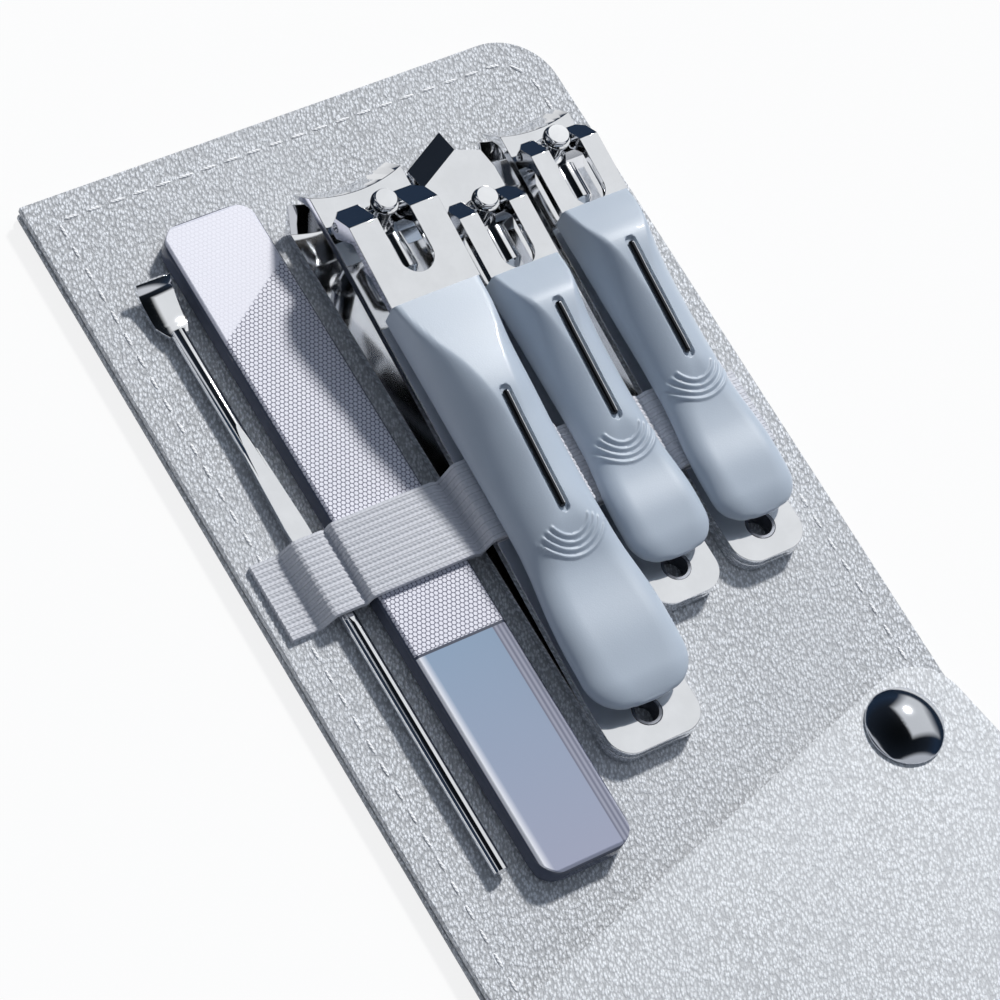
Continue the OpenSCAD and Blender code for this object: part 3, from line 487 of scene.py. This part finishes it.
def polished(node, material, bevel, angle=28.0, segments=2):
    """A copy of a CAD node with its edges rounded, which stands for the node."""
    bm = round_edges(copy_of(node), bevel, angle, segments)
    return new_piece("bright_" + node, bm, material, body_of(node), (node,))


def keyed(keys, share):
    """A smooth curve through (place, value) keys."""
    i = 1
    while i < len(keys) - 1 and share > keys[i][0]:
        i += 1

    def slope(k):
        a, b = keys[max(k - 1, 0)], keys[min(k + 1, len(keys) - 1)]
        return (b[1] - a[1]) / (b[0] - a[0])

    (a, low), (b, high) = keys[i - 1], keys[i]
    w = b - a
    t = (share - a) / w
    return (low * (2 * t**3 - 3 * t**2 + 1) + w * slope(i - 1) * (t**3 - 2 * t**2 + t)
            + high * (3 * t**2 - 2 * t**3) + w * slope(i) * (t**3 - t**2))


def mix(a, b, t):
    return a + (b - a) * t


def round_end(distance, radius):
    """How far a round end has risen at a distance from its tip, 0 to 1."""
    return 1.0 if distance >= radius else math.sqrt(1.0 - (1.0 - max(distance, 0.0) / radius) ** 2)


class Clipper:
    """Places and heights of one clipper, in mm from the tail of its lower arm."""

    ARM = 1.2
    TAIL = 8.0
    RISE = math.radians(6.2)
    BEND_UP = 0.58
    BEND_BACK = 0.4
    GRIP_END = 4.6
    UNDER_GRIP = 1.2
    SKIN = 1.2
    WALL = 1.1
    END_RADIUS = 3.2
    END_LEAD = 0.25
    END_WIDTH = 0.38
    END_REACH = 0.36
    CROWN = 0.03
    SHOULDER = 0.62
    WIDTHS = ((0, 1.1), (0.2, 1.1), (0.4, 0.93), (0.75, 0.94), (1, 0.97))
    FLATS = ((0, 0.35), (0.15, 0.5), (0.3, 0.42), (0.45, 0.12), (0.65, 0.16), (0.8, 0.4), (0.92, 0.8),
             (1, 0.93))
    FALLS = ((0, 2.4), (0.3, 2.6), (0.5, 1.7), (0.8, 1.6), (1, 2.2))
    TOP_STEPS = 80
    UNDER_STEPS = 32

    def __init__(self, name, lever_up, hump):
        self.name = name
        low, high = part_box(name + "_lower_arm")
        self.origin = Vector(((low.x + high.x) / 2, low.y, low.z))
        self.width = (high.x - low.x) / MM
        self.hump = hump
        self.grip_y = (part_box(name + "_grip")[1].y - self.origin.y) / MM
        near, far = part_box(name + "_inlay")
        self.near = (near.y - self.origin.y) / MM
        self.far = (far.y - self.origin.y) / MM
        pin = (sum(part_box(name + "_cross_pin"), Vector()) / 2 - self.origin) / MM
        self.bend_z = pin.z + self.BEND_UP * lever_up
        self.bend_y = pin.y - self.BEND_BACK * lever_up
        band_far = (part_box("elastic_band")[1].y - self.origin.y) / MM
        self.slide = (band_far - self.TAIL) * math.tan(self.RISE) / band_far
        fall = self.bend_z - self.floor(self.GRIP_END) - self.SKIN
        self.slope = fall / (self.bend_y - self.GRIP_END)

    def lever_top(self, y):
        return self.bend_z - (self.bend_y - y) * self.slope

    def floor(self, y):
        """The height of the grip's underside."""
        return 2 * self.ARM + self.UNDER_GRIP + y * self.slide

    def share(self, y):
        """0 at the grip's end, 1 at its head."""
        return (y - self.GRIP_END) / (self.grip_y - self.GRIP_END)

    def half_width(self, y):
        end = mix(self.END_WIDTH, 1.0, round_end(y - self.GRIP_END, self.END_REACH * self.width))
        return self.width / 2 * keyed(self.WIDTHS, self.share(y)) * end

    def side(self, y):
        """The height at which the grip is widest."""
        return self.floor(y) + self.WALL

    def end(self, y):
        """How far the grip's end has risen, 0 to 1."""
        return round_end(y - self.GRIP_END + self.END_LEAD, self.END_RADIUS)

    def rise(self, y):
        """The crown's height over the side."""
        hump, near, far = self.hump, self.share(self.near) - 0.02, self.share(self.far) + 0.02
        keys = [(0, 1), (0.06, 1.2), (0.15, 1.4), (0.27, 1), (near - 0.09, 1.2), (near, 0.78 * hump),
                (mix(near, far, 0.35), 0.87 * hump), (mix(near, far, 0.7), 0.94 * hump), (far, hump),
                (mix(far, 1, 0.5), 0.62 * hump), (1, 0.3)]
        return (self.lever_top(y) + keyed(keys, self.share(y)) - self.side(y)) * self.end(y)

    def section(self, y):
        """Half of the grip's section as (x, z), from the crown's middle round to the underside."""
        half, side, rise = self.half_width(y), self.side(y), self.rise(y)
        flat = keyed(self.FLATS, self.share(y))
        power = keyed(self.FALLS, self.share(y))
        points = []
        for step in range(self.TOP_STEPS + 1):
            out = 1.0 - (1.0 - step / self.TOP_STEPS) ** 3
            fall = max(0.0, (out - flat) / (1.0 - flat))
            shoulder = max(0.0, 1.0 - fall**power) ** (self.SHOULDER if out < 1 else 1)
            points.append((half * out, side + rise * (1.0 - self.CROWN * out**2) * shoulder))
        for step in range(1, self.UNDER_STEPS + 1):
            turn = 0.5 * math.pi * step / self.UNDER_STEPS
            inwards = max(0.0, math.cos(turn)) ** 0.5
            points.append((half * inwards, side - self.WALL * self.end(y) * math.sin(turn) ** 0.5))
        return points


def along(points, distances):
    """Points at the given distances along a line; a distance past its end gives the end."""
    found, i, gone = [], 0, 0.0
    step = math.dist(points[0], points[1])
    for distance in distances:
        while i < len(points) - 2 and gone + step < distance:
            gone += step
            i += 1
            step = math.dist(points[i], points[i + 1])
        t = min(1.0, (distance - gone) / step) if step > 1e-9 else 0.0
        a, b = points[i], points[i + 1]
        found.append((mix(a[0], b[0], t), mix(a[1], b[1], t)))
    return found


def spaced(stops):
    """Places from (end, step) stops, the first being the start."""
    places = [stops[0][0]]
    for end, step in stops[1:]:
        count = max(1, round((end - places[-1]) / step))
        start = places[-1]
        places += [mix(start, end, (k + 1) / count) for k in range(count)]
    return places


class SceneSizes(bpy.types.PropertyGroup):
    """Sizes and colours of the soft pieces."""

    stitch_pitch: FloatProperty(
        name="Stitch pitch", description="Distance from one stitch to the next",
        default=0.0032, min=0.002, max=0.006, unit="LENGTH")
    stitch_length: FloatProperty(
        name="Stitch length", description="Length of one stitch",
        default=0.0021, min=0.001, max=0.004, unit="LENGTH")
    stitch_inset: FloatProperty(
        name="Stitch inset", description="Distance of the stitches from the edge",
        default=0.0034, min=0.002, max=0.006, unit="LENGTH")
    band_ribs: IntProperty(
        name="Ribs", description="Number of lengthwise ribs on the elastic band",
        default=11, min=4, max=16)
    leather_colour: FloatVectorProperty(
        name="Leatherette", description="Colour of the leatherette",
        subtype="COLOR", size=3, default=(0.69, 0.71, 0.745), min=0.0, max=1.0)
    flap_colour: FloatVectorProperty(
        name="Flap", description="Colour of the flap",
        subtype="COLOR", size=3, default=(0.74, 0.76, 0.79), min=0.0, max=1.0)
    grip_colour: FloatVectorProperty(
        name="Grips", description="Colour of the moulded grips",
        subtype="COLOR", size=3, default=(0.45, 0.515, 0.60), min=0.0, max=1.0)
    ridge_height: FloatProperty(
        name="Ridge height", description="Height of the ridges on the grips",
        default=0.00026, min=0.0001, max=0.0005, unit="LENGTH")


class StageOperator(bpy.types.Operator):
    """Adds the floor, the lights and the camera"""

    bl_idname = "manicure.stage"
    bl_label = "Stage"

    FLOOR_RADIUS = 1.2
    FLOOR_DROP = 0.0002
    FLOOR_SHADE = 0.9
    FLOOR_GLOW = 0.85
    NEAR_FLOOR = 74.0
    NEAR_FADE = 40.0
    KEY_FROM = (0.62, 0.46, 0.72)
    KEY_POWER = 3.0
    KEY_SPREAD = math.radians(7.0)
    KEY_COLOUR = (1.0, 0.985, 0.955)
    LENS = 161.9
    EYE = (-0.250956, -0.142583, 0.445627)
    EYE_RIGHT = (0.82006, -0.50225, 0.27430)
    EYE_UP = (0.33790, 0.81181, 0.47622)
    SKY = ((0.0, (0.5, 0.5, 0.52, 1)), (0.42, (0.12, 0.13, 0.16, 1)), (0.5, (0.014, 0.024, 0.042, 1)),
           (0.66, (0.02, 0.036, 0.066, 1)), (0.8, (0.014, 0.019, 0.028, 1)), (1.0, (0.003, 0.004, 0.005, 1)))

    def execute(self, context):
        scene = context.scene
        scene.view_settings.view_transform = "Standard"
        self.lay_floor()
        scene.world = bpy.data.worlds.new("studio")
        scene.world.use_nodes = True
        self.light_world(scene.world.node_tree)
        self.hang_key(scene)
        self.set_camera(scene)
        return {"FINISHED"}

    def lay_floor(self):
        """A pale floor that far away looks dark in bright metal."""
        bm = bmesh.new()
        bmesh.ops.create_circle(bm, cap_ends=True, segments=64, radius=self.FLOOR_RADIUS)
        bmesh.ops.translate(bm, vec=(0, 0, -self.FLOOR_DROP), verts=bm.verts)
        finish = Finish("pale floor")
        path = finish.node("ShaderNodeLightPath")
        seen = path["Is Camera Ray"].most(path["Is Glossy Ray"]).most(path["Is Transmission Ray"])
        plain = finish.node("ShaderNodeBsdfDiffuse", None, rgba(WHITE, self.FLOOR_SHADE))["BSDF"]
        x, y, z = finish.axes(finish.place())
        far = path["Is Glossy Ray"] * ((x * x + y * y) ** 0.5).over(self.NEAR_FLOOR, self.NEAR_FADE)
        tone = finish.mix(far, rgba(WHITE), rgba(STUDIO_NAVY))
        glow = finish.node("ShaderNodeEmission", None, tone, 1.0)["Emission"]
        shader = finish.shaders((seen * self.FLOOR_GLOW).most(far), plain, glow)
        new_piece("floor", bm, finish.done(shader), None)

    def hang_key(self, scene):
        key = bpy.data.lights.new("key", "SUN")
        key.energy = self.KEY_POWER
        key.angle = self.KEY_SPREAD
        key.color = self.KEY_COLOUR
        lamp = bpy.data.objects.new("key", key)
        lamp.rotation_euler = Vector(self.KEY_FROM).to_track_quat("Z", "Y").to_euler()
        scene.collection.objects.link(lamp)

    def set_camera(self, scene):
        camera = bpy.data.cameras.new("view")
        camera.lens = self.LENS
        camera.sensor_width = 36.0
        camera.clip_start = 0.01
        eye = bpy.data.objects.new("view", camera)
        right, up = Vector(self.EYE_RIGHT), Vector(self.EYE_UP)
        turn = Matrix((right, up, right.cross(up))).transposed().to_4x4()
        eye.matrix_world = Matrix.Translation(self.EYE) @ turn
        scene.collection.objects.link(eye)
        scene.camera = eye

    def light_world(self, tree):
        """Soft light from the right; bright metal sees a lamp box and two strips in a dark sky."""
        finish = Finish("studio", tree)
        path = finish.node("ShaderNodeLightPath")
        x, y, z = finish.axes(finish.node("ShaderNodeTexCoord")["Generated"])
        sky = finish.node("ShaderNodeValToRGB", {"stops": self.SKY}, z * 0.5 + 0.5)["Color"]
        aside = abs(x - 0.62).over(0.27, 0.1).most(abs(y - 0.2).over(0.4, 0.14))
        box = (1.0 - aside) * z.over(0.12, 0.1)
        strips = (1.0 - abs(x + 0.72).over(0.05, 0.04)).most((-1.0 * y).over(0.64, 0.08))
        bright = finish.mix(box, finish.mix(strips, sky, rgba(STUDIO_STRIP)), rgba(STUDIO_LAMP))
        side = (x * 0.6 + y * 0.25).over(-0.8, 1.6)
        soft = self.background(finish, rgba(STUDIO_FILL), side * 0.58 + 0.04)
        shiny = self.background(finish, bright, 1.0)
        lit = finish.shaders(path["Is Glossy Ray"], soft, shiny)
        shown = finish.shaders(path["Is Camera Ray"], lit, self.background(finish, rgba(WHITE), 1.0))
        finish.node("ShaderNodeOutputWorld", None, shown)

    def background(self, finish, colour, strength):
        return finish.node("ShaderNodeBackground", None, colour, strength)["Background"]


class LeatherOperator(bpy.types.Operator):
    """Finishes the cover and the lining, and makes the flap's leatherette one sheet round its fold"""

    bl_idname = "manicure.leather"
    bl_label = "Leatherette"

    FLAP_THICKNESS = 0.9
    EDGE_TURN = 40.0

    def execute(self, context):
        sizes = context.scene.manicure
        # The contrast is the grain's tone together with its painted highlight and painted shade
        coarse = leather_finish("coarse leatherette", sizes.leather_colour, depth=0.2, grain_and_shade_contrast=0.36)
        fine = leather_finish("fine leatherette", sizes.flap_colour, depth=0.12, grain_and_shade_contrast=0.28)
        for node in ("outer_cover", "lining_panel"):
            polished(node, coarse, 0.3, self.EDGE_TURN, 3)
        polished("flap_lining", coarse, 0.12, self.EDGE_TURN, 2)
        paint("board", board_finish())
        self.fold_flap(fine)
        return {"FINISHED"}

    def fold_flap(self, material):
        """One sheet from the cover's end round the fold and over the flap."""
        low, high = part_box("flap_fold")
        flap_low, flap_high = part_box("flap_outer")
        bm = copy_of("flap_fold", "flap_outer")
        inner = [face for face in bm.faces if abs(face.normal.y) > FACING
                 and all(abs(v.co.y - high.y) < SAME_PLACE and v.co.z > flap_low.z - SAME_PLACE
                         for v in face.verts)]
        bmesh.ops.delete(bm, geom=inner, context="FACES")
        bmesh.ops.remove_doubles(bm, verts=bm.verts, dist=SAME_PLACE)
        round_edges(bm, 0.28, self.EDGE_TURN, 3)
        for face in bm.faces:
            face.smooth = True
        sheet = new_piece("flap_sheet", bm, material, None,
                          ("flap_fold", "flap_outer"), 50.0)
        thickness = self.FLAP_THICKNESS * MM
        hinge_z = (low.z + high.z) / 2
        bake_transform(sheet)
        fold = math.pi * (hinge_z - low.z - thickness / 2)
        flat = (high.x - low.x, flap_high.y - flap_low.y + fold)
        area = sum(p.area for p in sheet.data.polygons) / 2.0
        min(area, flat[0] * flat[1])


class StitchOperator(bpy.types.Operator):
    """Sews the row of stitches round the panel"""

    bl_idname = "manicure.stitches"
    bl_label = "Stitches"

    CORNER_RADIUS = 4.5
    LEFT_START = 3.6
    RIGHT_END = 13.5
    WIDTH = 0.44
    THICKNESS = 0.26
    LIFT = 0.03

    def route(self, inset):
        """Up the left side, along the top, round the corner and down the right side, in mm."""
        width = (PANEL_HIGH.x - PANEL_LOW.x) / MM
        height = (PANEL_HIGH.y - PANEL_LOW.y) / MM
        radius = self.CORNER_RADIUS
        middle = (width - inset - radius, height - inset - radius)
        turns = [math.radians(angle) for angle in range(0, 91, 15)]
        corner = [(middle[0] + radius * math.sin(t), middle[1] + radius * math.cos(t)) for t in turns]
        return [(inset, self.LEFT_START), (inset, height - inset), *corner, (width - inset, self.RIGHT_END)]

    def execute(self, context):
        sizes = context.scene.manicure
        route = self.route(sizes.stitch_inset / MM)
        shape = Matrix.Diagonal((sizes.stitch_length, self.WIDTH * MM, self.THICKNESS * MM, 1))
        bm = bmesh.new()
        done = 0.0
        for start, end in zip(route, route[1:]):
            start, end = Vector(start), Vector(end)
            side = (end - start).length
            angle = math.atan2(end.y - start.y, end.x - start.x)
            while done < side:
                middle = start.lerp(end, done / side)
                made = bmesh.ops.create_uvsphere(bm, u_segments=8, v_segments=6, radius=0.5)
                place = Matrix.Translation(on_panel(middle.x, middle.y, self.LIFT))
                turn = Matrix.Rotation(angle, 4, "Z")
                bmesh.ops.transform(bm, matrix=place @ turn @ shape, verts=made["verts"])
                done += sizes.stitch_pitch / MM
            done -= side
        new_piece("stitching", bm, thread_finish(), "case", smooth=80.0)
        return {"FINISHED"}


class ToolOperator(bpy.types.Operator):
    """Finishes the chrome tools, the snap and the glass file"""

    bl_idname = "manicure.tools"
    bl_label = "Tools"

    ETCHED_Y = 42.3
    # Where the painted reflection at the file's tip starts, in mm up the panel
    FROST_Y = 86.6
    PLATE_EDGE = 0.1
    PIN_EDGE = 0.05
    INLAY_EDGE = 0.4

    def execute(self, context):
        bright = chrome_finish("tool chrome", TOOL_CHROME, 0.05)
        snap = chrome_finish("snap chrome", SNAP_CHROME, 0.07)
        dull = chrome_finish("eyelet steel", EYELET_STEEL, 0.2)
        for node in ("snap_socket", "snap_stud", "snap_rivet"):
            paint(node, snap)
        polished("snap_cap", snap, 0.12)
        polished("cuticle_pusher", bright, 0.06, 40.0)
        low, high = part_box("glass_file")
        etched_y, frost_y = on_panel(0, self.ETCHED_Y).y, on_panel(0, self.FROST_Y).y
        glass = FileFinish(low / MM, high / MM, etched_y / MM, frost_y / MM).made()
        polished("glass_file", glass, 0.2)
        for clipper in CLIPPERS:
            self.finish_clipper(clipper.name, bright, dull)
        return {"FINISHED"}

    def finish_clipper(self, name, bright, dull):
        for part in ("lower_arm", "upper_arm", "lever"):
            polished(name + "_" + part, bright, self.PLATE_EDGE)
        for part in ("post", "cross_pin"):
            polished(name + "_" + part, bright, self.PIN_EDGE)
        middle = sum(point.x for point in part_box(name + "_inlay")) / 2
        inlay = inlay_finish(name + " inlay", middle / MM)
        polished(name + "_inlay", inlay, self.INLAY_EDGE, segments=4)
        paint(name + "_tail_eyelet", dull)


class GripOperator(bpy.types.Operator):
    """Moulds the grips of the three clippers"""

    bl_idname = "manicure.grips"
    bl_label = "Grips"

    NOSE = ((1.0, 0.9, 0.75, 0.55, 0.3), 0.3)
    CROWN_STEPS = ((0, 0), (0.6, 0.15), (0.84, 0.06), (4.2, 0.14))
    FULL_LENGTH = 8.5
    SIDE_COLUMNS = 26
    RECESS_MARGIN = 0.6
    RECESS_DEPTH = 0.5
    RECESS_HALF = 0.78
    RECESS_END = 0.7
    RECESS_WALL = 0.1
    RIDGES = 4
    RIDGE_START = 2.8
    RIDGE_PITCH = 0.75
    RIDGE_HALF = 0.25
    RIDGE_SPAN = 74.0
    RIDGE_FADE = 10.0
    CARVED_REACH = 7.0
    CARVED_FROM = 0.4

    def execute(self, context):
        sizes = context.scene.manicure
        plastic = grip_finish("moulded grip", sizes.grip_colour)
        for clipper in CLIPPERS:
            self.mould(clipper, plastic, sizes.ridge_height / MM)
        return {"FINISHED"}

    def rows(self, clipper):
        """Places of the grip's sections, closest round the recess and the ridges."""
        near, far, start, head = clipper.near, clipper.far, clipper.GRIP_END, clipper.grip_y
        return spaced([(start, 0), (start + 0.6, 0.12), (start + 3, 0.3), (near - 6.6, 0.5),
                       (near - 1, 0.13), (near + 1, 0.12), (far - 0.6, 0.4), (far + 0.8, 0.1),
                       (head - 0.3, 0.5), (head, 0.1)])

    def ring(self, clipper, y):
        """Half of a section as evenly placed points (x, z), closest over the recess."""
        half = clipper.section(y)
        length = sum(math.dist(a, b) for a, b in zip(half, half[1:]))
        scale = min(1.0, length / self.FULL_LENGTH)
        places = [step * scale for step in spaced(self.CROWN_STEPS)]
        rest = self.SIDE_COLUMNS
        places += [mix(places[-1], length, (j + 1) / rest) for j in range(rest)]
        return along(half, places)

    def rings(self, clipper, ridge):
        """The round nose, then one ring for each row, with recess and ridges carved in."""
        start = clipper.GRIP_END
        shares, reach = self.NOSE
        places = [(1.0 - t * t, start, start - reach * t) for t in shares]
        places += [(1.0, y, y) for y in self.rows(clipper)]
        found = []
        for shrink, section_y, y in places:
            ring = self.ring(clipper, section_y)
            middle = (ring[0][1] + ring[-1][1]) / 2
            ring = [(x * shrink, y, middle + (z - middle) * shrink) for x, z in ring]
            found.append([self.carved(clipper, point, ridge) for point in ring])
        return found

    def mould(self, clipper, material, ridge):
        """A grid is laid on the rings, mirrored about the grip's middle line, and closed."""
        rings = self.rings(clipper, ridge)
        columns, rows = 2 * (len(rings[0]) - 1), len(rings) - 1
        bm = bmesh.new()
        bmesh.ops.create_grid(bm, x_segments=columns, y_segments=rows, size=1.0)
        for vert in bm.verts:
            column = round((vert.co.x + 1.0) / 2.0 * columns) - columns // 2
            row = round((vert.co.y + 1.0) / 2.0 * rows)
            x, y, z = rings[row][abs(column)]
            vert.co = clipper.origin + Vector((x if column > 0 else -x, y, z)) * MM
        bmesh.ops.remove_doubles(bm, verts=bm.verts, dist=2 * WELD)
        bmesh.ops.holes_fill(bm, edges=[e for e in bm.edges if e.is_boundary], sides=0)
        bmesh.ops.recalc_face_normals(bm, faces=bm.faces)
        new_piece(clipper.name + "_moulded_grip", bm, material, clipper.name + "_lever",
                  (clipper.name + "_grip",), 60.0)

    def carved(self, clipper, point, ridge):
        """Sinks the recess round the inlay and raises the ridges in front of it."""
        x, y, z = point
        near, far = clipper.near - self.RECESS_MARGIN, clipper.far + self.RECESS_MARGIN
        if z < clipper.side(y) + self.CARVED_FROM or y < near - self.CARVED_REACH:
            return point
        crown = [clipper.side(p) + clipper.rise(p) for p in (clipper.near, clipper.far)]
        bed = mix(crown[0], crown[1], (y - clipper.near) / (clipper.far - clipper.near)) - self.RECESS_DEPTH
        away = math.hypot(x, y - min(max(y, near + self.RECESS_END), far - self.RECESS_END))
        sink = min(1.0, max(0.0, (self.RECESS_HALF - away) / self.RECESS_WALL))
        z = mix(z, min(z, bed), sink)
        radius, turn = math.hypot(x, near - y), math.degrees(math.atan2(abs(x), near - y))
        fade = min(1.0, max(0.0, (self.RIDGE_SPAN - turn) / self.RIDGE_FADE))
        for k in range(self.RIDGES):
            off = (radius - self.RIDGE_START - self.RIDGE_PITCH * k) / self.RIDGE_HALF
            z += fade * ridge * max(0.0, 1.0 - off**2)
        return x, y, z


class BandOperator(bpy.types.Operator):
    """Weaves the elastic band"""

    bl_idname = "manicure.band"
    bl_label = "Elastic band"

    THICKNESS = 0.8
    RIB_SHAPE = ((0.0, 0.0), (0.1, 0.75), (0.3, 1.0), (0.55, 0.95), (0.8, 0.75), (0.93, 0.45), (1.0, 0.0))
    RIB_MEAN = 0.6
    RIB_HEIGHT = 0.16
    LEAST_OUT = 0.3

    def rib_height(self, share):
        """A rib's height over its mean at a share of its width, in mm."""
        for (a, low), (b, high) in zip(self.RIB_SHAPE, self.RIB_SHAPE[1:]):
            if share <= b + 1e-6:
                return (mix(low, high, (share - a) / (b - a)) - self.RIB_MEAN) * self.RIB_HEIGHT
        return -self.RIB_MEAN * self.RIB_HEIGHT

    def execute(self, context):
        ribs = context.scene.manicure.band_ribs
        low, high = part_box("elastic_band")
        pitch = (high.y - low.y) / ribs
        bm = copy_of("elastic_band")
        for rib in range(ribs):
            for share, _ in self.RIB_SHAPE[:-1]:
                y = low.y + (rib + share) * pitch
                if y > low.y + SAME_PLACE:
                    bmesh.ops.bisect_plane(bm, geom=bm.verts[:] + bm.edges[:] + bm.faces[:],
                                           plane_co=(0, y, 0), plane_no=(0, 1, 0))
        bm.normal_update()
        moves = []
        for vert in bm.verts:
            out = Vector((vert.normal.x, 0.0, vert.normal.z))
            if out.length > self.LEAST_OUT and low.y + SAME_PLACE < vert.co.y < high.y - SAME_PLACE:
                share = ((vert.co.y - low.y) / pitch) % 1.0
                moves.append((vert, out.normalized() * self.rib_height(share) * MM))
        for vert, move in moves:
            vert.co += move
        webbing = webbing_finish(low.y / MM, pitch / MM)
        band = new_piece("ribbed_band", bm, webbing, "case", ("elastic_band",), 50.0)
        return {"FINISHED"}


class ManicurePanel(bpy.types.Panel):
    """Lists the steps that build the looks"""

    bl_idname = "VIEW3D_PT_manicure"
    bl_label = "Manicure Set"
    bl_space_type = "VIEW_3D"
    bl_region_type = "UI"
    bl_category = "Manicure Set"

    def draw(self, context):
        for operator in OPERATORS:
            self.layout.operator(operator.bl_idname)


CLIPPERS = (Clipper("large", 4.6, 3.6), Clipper("slant", 3.7, 2.8), Clipper("small", 3.7, 2.8))
OPERATORS = (StageOperator, LeatherOperator, StitchOperator, ToolOperator, GripOperator, BandOperator)
CLASSES = (SceneSizes, *OPERATORS, ManicurePanel)


def register():
    for item in CLASSES:
        bpy.utils.register_class(item)
    bpy.types.Scene.manicure = PointerProperty(type=SceneSizes)


def unregister():
    del bpy.types.Scene.manicure
    for item in reversed(CLASSES):
        bpy.utils.unregister_class(item)


def main():
    register()
    for operator in OPERATORS:
        group, name = operator.bl_idname.split(".")
        getattr(getattr(bpy.ops, group), name)()


if __name__ == "__main__":
    main()
